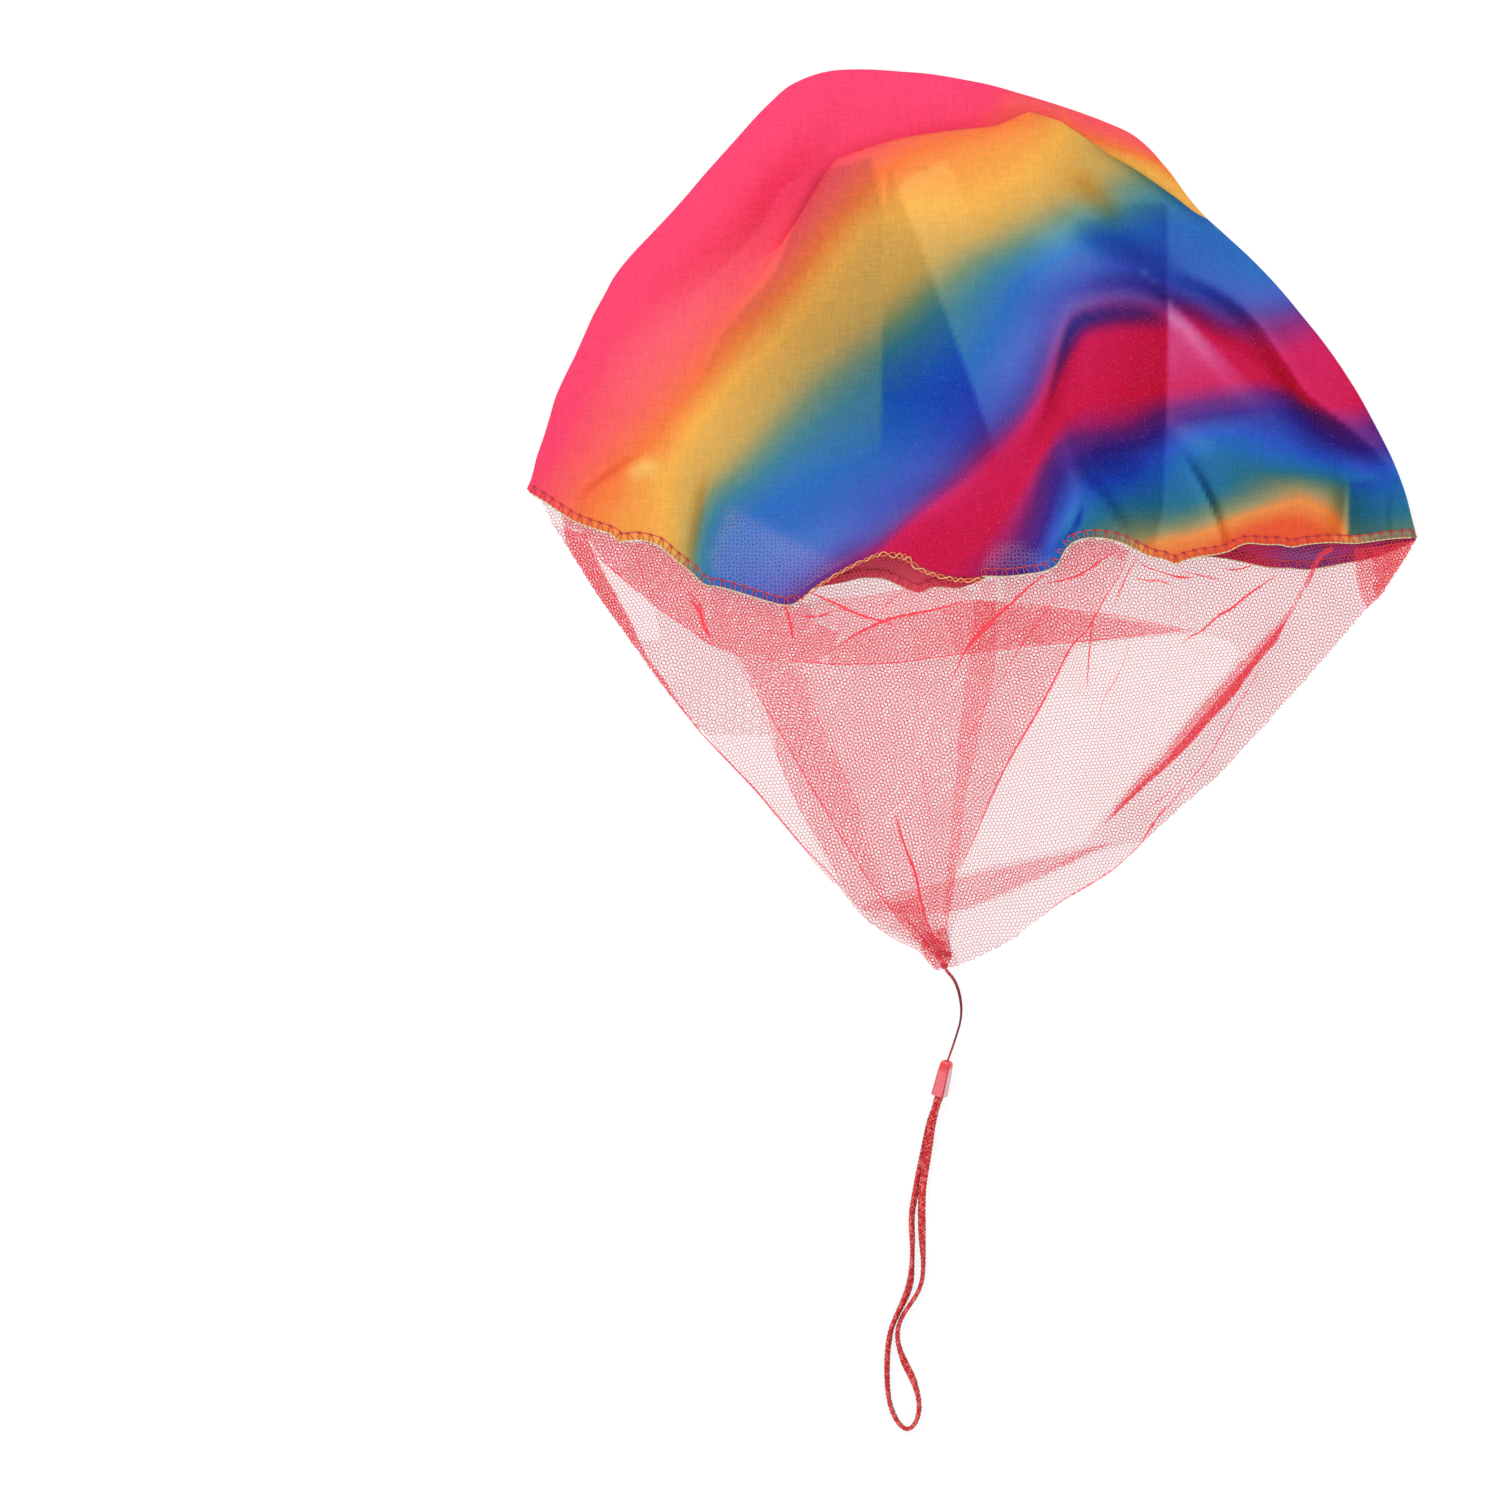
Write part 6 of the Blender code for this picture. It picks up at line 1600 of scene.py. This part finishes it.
def build_net():
    """The tulle skirt: its front and back, its folded parts, its thin pleats and their creases."""
    front = new_object("net_front_guide", net_sheet("net_front_guide", FRONT_HEM, True))
    back = new_object("net_back_guide", net_sheet("net_back_guide", BACK_HEM, False))
    thin = new_object("thin_areas", flat_panels("thin_areas", THIN_AREAS))
    group = tulle_group()
    finish = red_net("red_net", (188, 48, 74), (218, 70, 94))
    # The folded parts use the same yarn in lighter colours, a painted light against the shade their stacked layers
    # cast on each other
    folded = red_net("red_net_folded", (240, 46, 62), (250, 82, 94))
    guides = {"Front": front, "Back": back}
    common = {
        **guides, "Thin": thin, "Cell": NET_CELL, "Squeeze": 1.0, "Strand": NET_STRAND,
        "Fold Strand": FOLD_LINE_STRAND, "Drift": NET_DRIFT, "Thinning": 0.0, "Finish": finish,
    }
    made = {}
    for name, source, level, turn, thinning in (
        ("net_front", front, 0.0, 8, 0.0), ("net_back", back, 1.0, -14, 0.65),
    ):
        inputs = {**common, "Level": level, "Turn": math.radians(turn), "Thinning": thinning}
        made[name] = grown(name, source.data.copy(), group, inputs)
    common.update(Strand=FOLDED_STRAND, Finish=folded)
    folds = []
    for name, levels, turn, squeeze, outline in NET_FOLDS:
        for step, level in enumerate(levels):
            angle = math.radians(turn + FOLD_LAYER_TURN * step)
            inputs = {**common, "Level": level, "Turn": angle, "Squeeze": squeeze}
            folds.append(grown(name, flat_panels(name, [outline]), group, inputs))
    made["net_folds"] = joined("net_folds", folds)
    pleats = flat_panels("net_pleats", [pleat_outline(*pleat) for pleat in NET_PLEATS])
    inputs = {**common, "Level": 0.0, "Turn": 0.4, "Squeeze": 0.3, "Fold Strand": 0.0001}
    pleats = grown("net_pleats", pleats, group, inputs)
    lines, widths = zip(*((drawn(line), half * MILLIMETRE) for half, line in NET_PLEATS))
    creases = ribbons("net_creases", lines, widths, guides, CREASE_LEVEL, folded)
    made["net_pleats"] = joined("net_pleats", [pleats, creases])
    gathered = red_net("red_net_gathered", (200, 40, 58), (226, 70, 84))
    made["net_gather"] = ribbons("neck_strands", *neck_strands(), guides, NECK_LEVEL, gathered)
    pieces = [add_piece(name, mesh, None, "canopy_and_net") for name, mesh in made.items()]
    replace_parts(pieces[0], "net_skirt")
    for guide in (front, back, thin):
        bpy.data.objects.remove(guide)


def rear_dye(places):
    """The dye of the canopy's back, with the coral patch that shows below the turned-over hem."""
    low, high = plan(CORAL_PATCH)
    inside = (places[:, 0] > low[0]) & (places[:, 0] < high[0]) & (places[:, 1] < low[1])
    return np.where(inside, CORAL_DYE, dye_field(BACK_DYE_LINES)(places))


def build_canopy():
    """The canopy's cloth: up the front and through its fold to the top edge, and down the back."""
    u = np.linspace(0, 1, CANOPY_COLUMNS)
    fold = fold_height(u)
    rows = [front_place(u, np.full_like(u, share), fold) for share in np.linspace(0, 1, CANOPY_ROWS)]
    front = np.vstack([place for place, _ in rows])
    behind = np.concatenate([behind for _, behind in rows])
    dye, rear = (dye_field(lines)(front[:, :2]) for lines in (FRONT_DYE_LINES, REAR_DYE_LINES))
    dye = dye * (1 - behind) + rear * behind
    # depth and shade hold the drapes' painted shade and highlights as well as the layers
    depth, shade, shift, rise = draped(front[:, :2]).T * (1 - behind)
    dye = np.clip(dye + shift, 0, DYE_END)
    front[:, 2] += rise
    back = np.vstack([canopy_place(BACK_HEM, u, np.full_like(u, share)) for share in np.linspace(1, 0, BACK_ROWS)])
    back_dye = rear_dye(back)
    points = np.vstack([front, np.column_stack([back, np.full(len(back), BACK_CLOTH_HEIGHT)])])
    faces = sheet_faces(CANOPY_ROWS, CANOPY_COLUMNS) + sheet_faces(BACK_ROWS, CANOPY_COLUMNS, len(front))
    mesh = mesh_from("canopy_cloth", points, faces)
    store(mesh, "dye", np.concatenate([dye, back_dye]) / DYE_END)
    # Near its hem the back is made lighter, a painted light where it lies in the shadow under the front's hem
    low = 1 - ease(0.006, 0.014, back[:, 1] - np.interp(back[:, 0], BACK_HEM[:, 0], BACK_HEM[:, 1]))
    coral = back_dye == CORAL_DYE
    store(mesh, "depth", np.concatenate([depth, np.where(coral, 0, 0.25 * low)]))
    # The coral patch is lightened the most, a painted light against the shadow of the front's hem
    store(mesh, "shade", np.concatenate([shade, np.where(coral, CORAL_PAINTED_LIGHT, 0.12 * low)]))
    store(mesh, "seen", np.concatenate([net_seen(front[:, :2]) * (1 - behind), np.zeros(len(back))]))
    cloth = add_piece("canopy_cloth", mesh, dyed_cloth(), "canopy_and_net")
    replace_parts(cloth, "canopy")
    return cloth


def dyed_cloth():
    """The canopy's thin cloth: its dyes, deeper where layers lie over each other, painted shade and highlights along
    its drapes, painted light in the shadow at the back's hem, painted glints, and its weave.
    """
    paint = Finish("dyed_cloth", roughness=0.6, specular_ior_level=0.06, sheen_weight=0.02, sheen_roughness=0.4)
    stops = [(place / DYE_END, linear(colour)) for place, colour in DYES]
    blotch = paint.noise(45, 3) - 0.5
    colour = paint.node("ShaderNodeValToRGB", {"stops": stops}, {0: paint.attribute("dye") + blotch * 0.010})
    threads = []
    for stretch in ((150, 1500, 900), (1500, 150, 900)):
        values = {"Vector": paint.place, "Rotation": (0, 0, 0.35), "Scale": stretch}
        threads.append(paint.noise(1, place=paint.node("ShaderNodeMapping", {}, values)) - 0.5)
    weave = threads[0] + threads[1]
    # depth and shade carry the layers, the drapes' painted shade and highlights, and the painted light near the back's
    # hem
    colour = paint.node("ShaderNodeGamma", {}, {0: colour, 1: 1 - paint.attribute("depth")})
    shade = 1 + paint.attribute("shade") + weave * 0.26
    colour = paint.scaled(colour, shade)
    colour = paint.vector("MINIMUM", colour, (1.0, 1.0, 1.0))
    values = {"Vector": paint.place, "Scale": 1 / NET_CELL, "Randomness": 0.6}
    settings = {"voronoi_dimensions": "2D", "feature": "DISTANCE_TO_EDGE"}
    gaps = paint.node("ShaderNodeTexVoronoi", settings, values)
    strand = (1 - gaps.smooth(0.05, 0.30)) * paint.attribute("seen")
    colour = paint.mix(strand * 0.16, colour, linear((232, 190, 216)))
    # Fine pale specks over the cloth: painted glints of its sheen
    painted_glints = paint.noise(2600, 1).smooth(0.62, 0.80)
    colour = paint.mix(painted_glints * 0.12, colour, (0.9, 0.85, 0.9, 1))
    paint.set("Base Color", colour)
    return paint.material


def build_floor():
    """The pale sheet that the toy lies on: it takes shadows, and looks white."""
    bpy.ops.mesh.primitive_plane_add(size=6, location=(0, 0, -FLOOR_DROP))
    floor = bpy.context.object
    floor.name = "floor"
    material = bpy.data.materials.new("pale_floor")
    material.use_nodes = True
    tree = Tree(material.node_tree)
    material.node_tree.nodes.remove(material.node_tree.nodes["Principled BSDF"])
    ray = tree.node("ShaderNodeLightPath", {}, {}, "Is Camera Ray")
    seen = (ray + tree.other(ray, "Is Glossy Ray") + tree.other(ray, "Is Transmission Ray")).clamped()
    diffuse = tree.node("ShaderNodeBsdfDiffuse", {}, {"Color": (0.9, 0.9, 0.9, 1)})
    glow = tree.node("ShaderNodeEmission", {}, {"Color": (1, 1, 1, 1), "Strength": 1.12})
    surface = tree.node("ShaderNodeMixShader", {}, {0: seen * 0.75, 1: diffuse, 2: glow})
    material.node_tree.links.new(surface.socket, material.node_tree.nodes["Material Output"].inputs["Surface"])
    floor.data.materials.append(material)


def build_light():
    """A white studio: an even world with a key and a fill lamp."""
    world = bpy.data.worlds.new("studio")
    bpy.context.scene.world = world
    world.use_nodes = True
    sky = world.node_tree.nodes["Background"]
    sky.inputs["Color"].default_value = (1, 1, 1, 1)
    sky.inputs["Strength"].default_value = 0.55
    for name, place, size, power in (
        ("key", (-0.9, 0.9, 1.5), 1.0, 17.0),
        ("fill", (0.9, -0.6, 1.6), 1.4, 6.0),
    ):
        lamp = bpy.data.lights.new(name, "AREA")
        lamp.shape = "DISK"
        lamp.size = size
        lamp.energy = power
        item = new_object(name, lamp)
        item.location = place
        item.rotation_mode = "QUATERNION"
        item.rotation_quaternion = (-Vector(place)).to_track_quat("-Z", "Y")


def build_camera():
    """The camera straight above the sheet, framing it as the plan drawing does."""
    camera = bpy.data.cameras.new("camera")
    camera.sensor_width = 36
    camera.lens = CAMERA_HEIGHT * camera.sensor_width / (SHEET_WIDTH * PLAN_UNIT)
    item = new_object("camera", camera)
    item.location = (*plan(SHEET_MIDDLE)[0], CAMERA_HEIGHT)
    bpy.context.scene.camera = item


build_camera()
build_floor()
build_light()
build_cord()
build_ferrule()
build_strap()
cloth = build_canopy()
trims = build_seam()
build_net()
bpy.context.scene.view_settings.view_transform = "Standard"
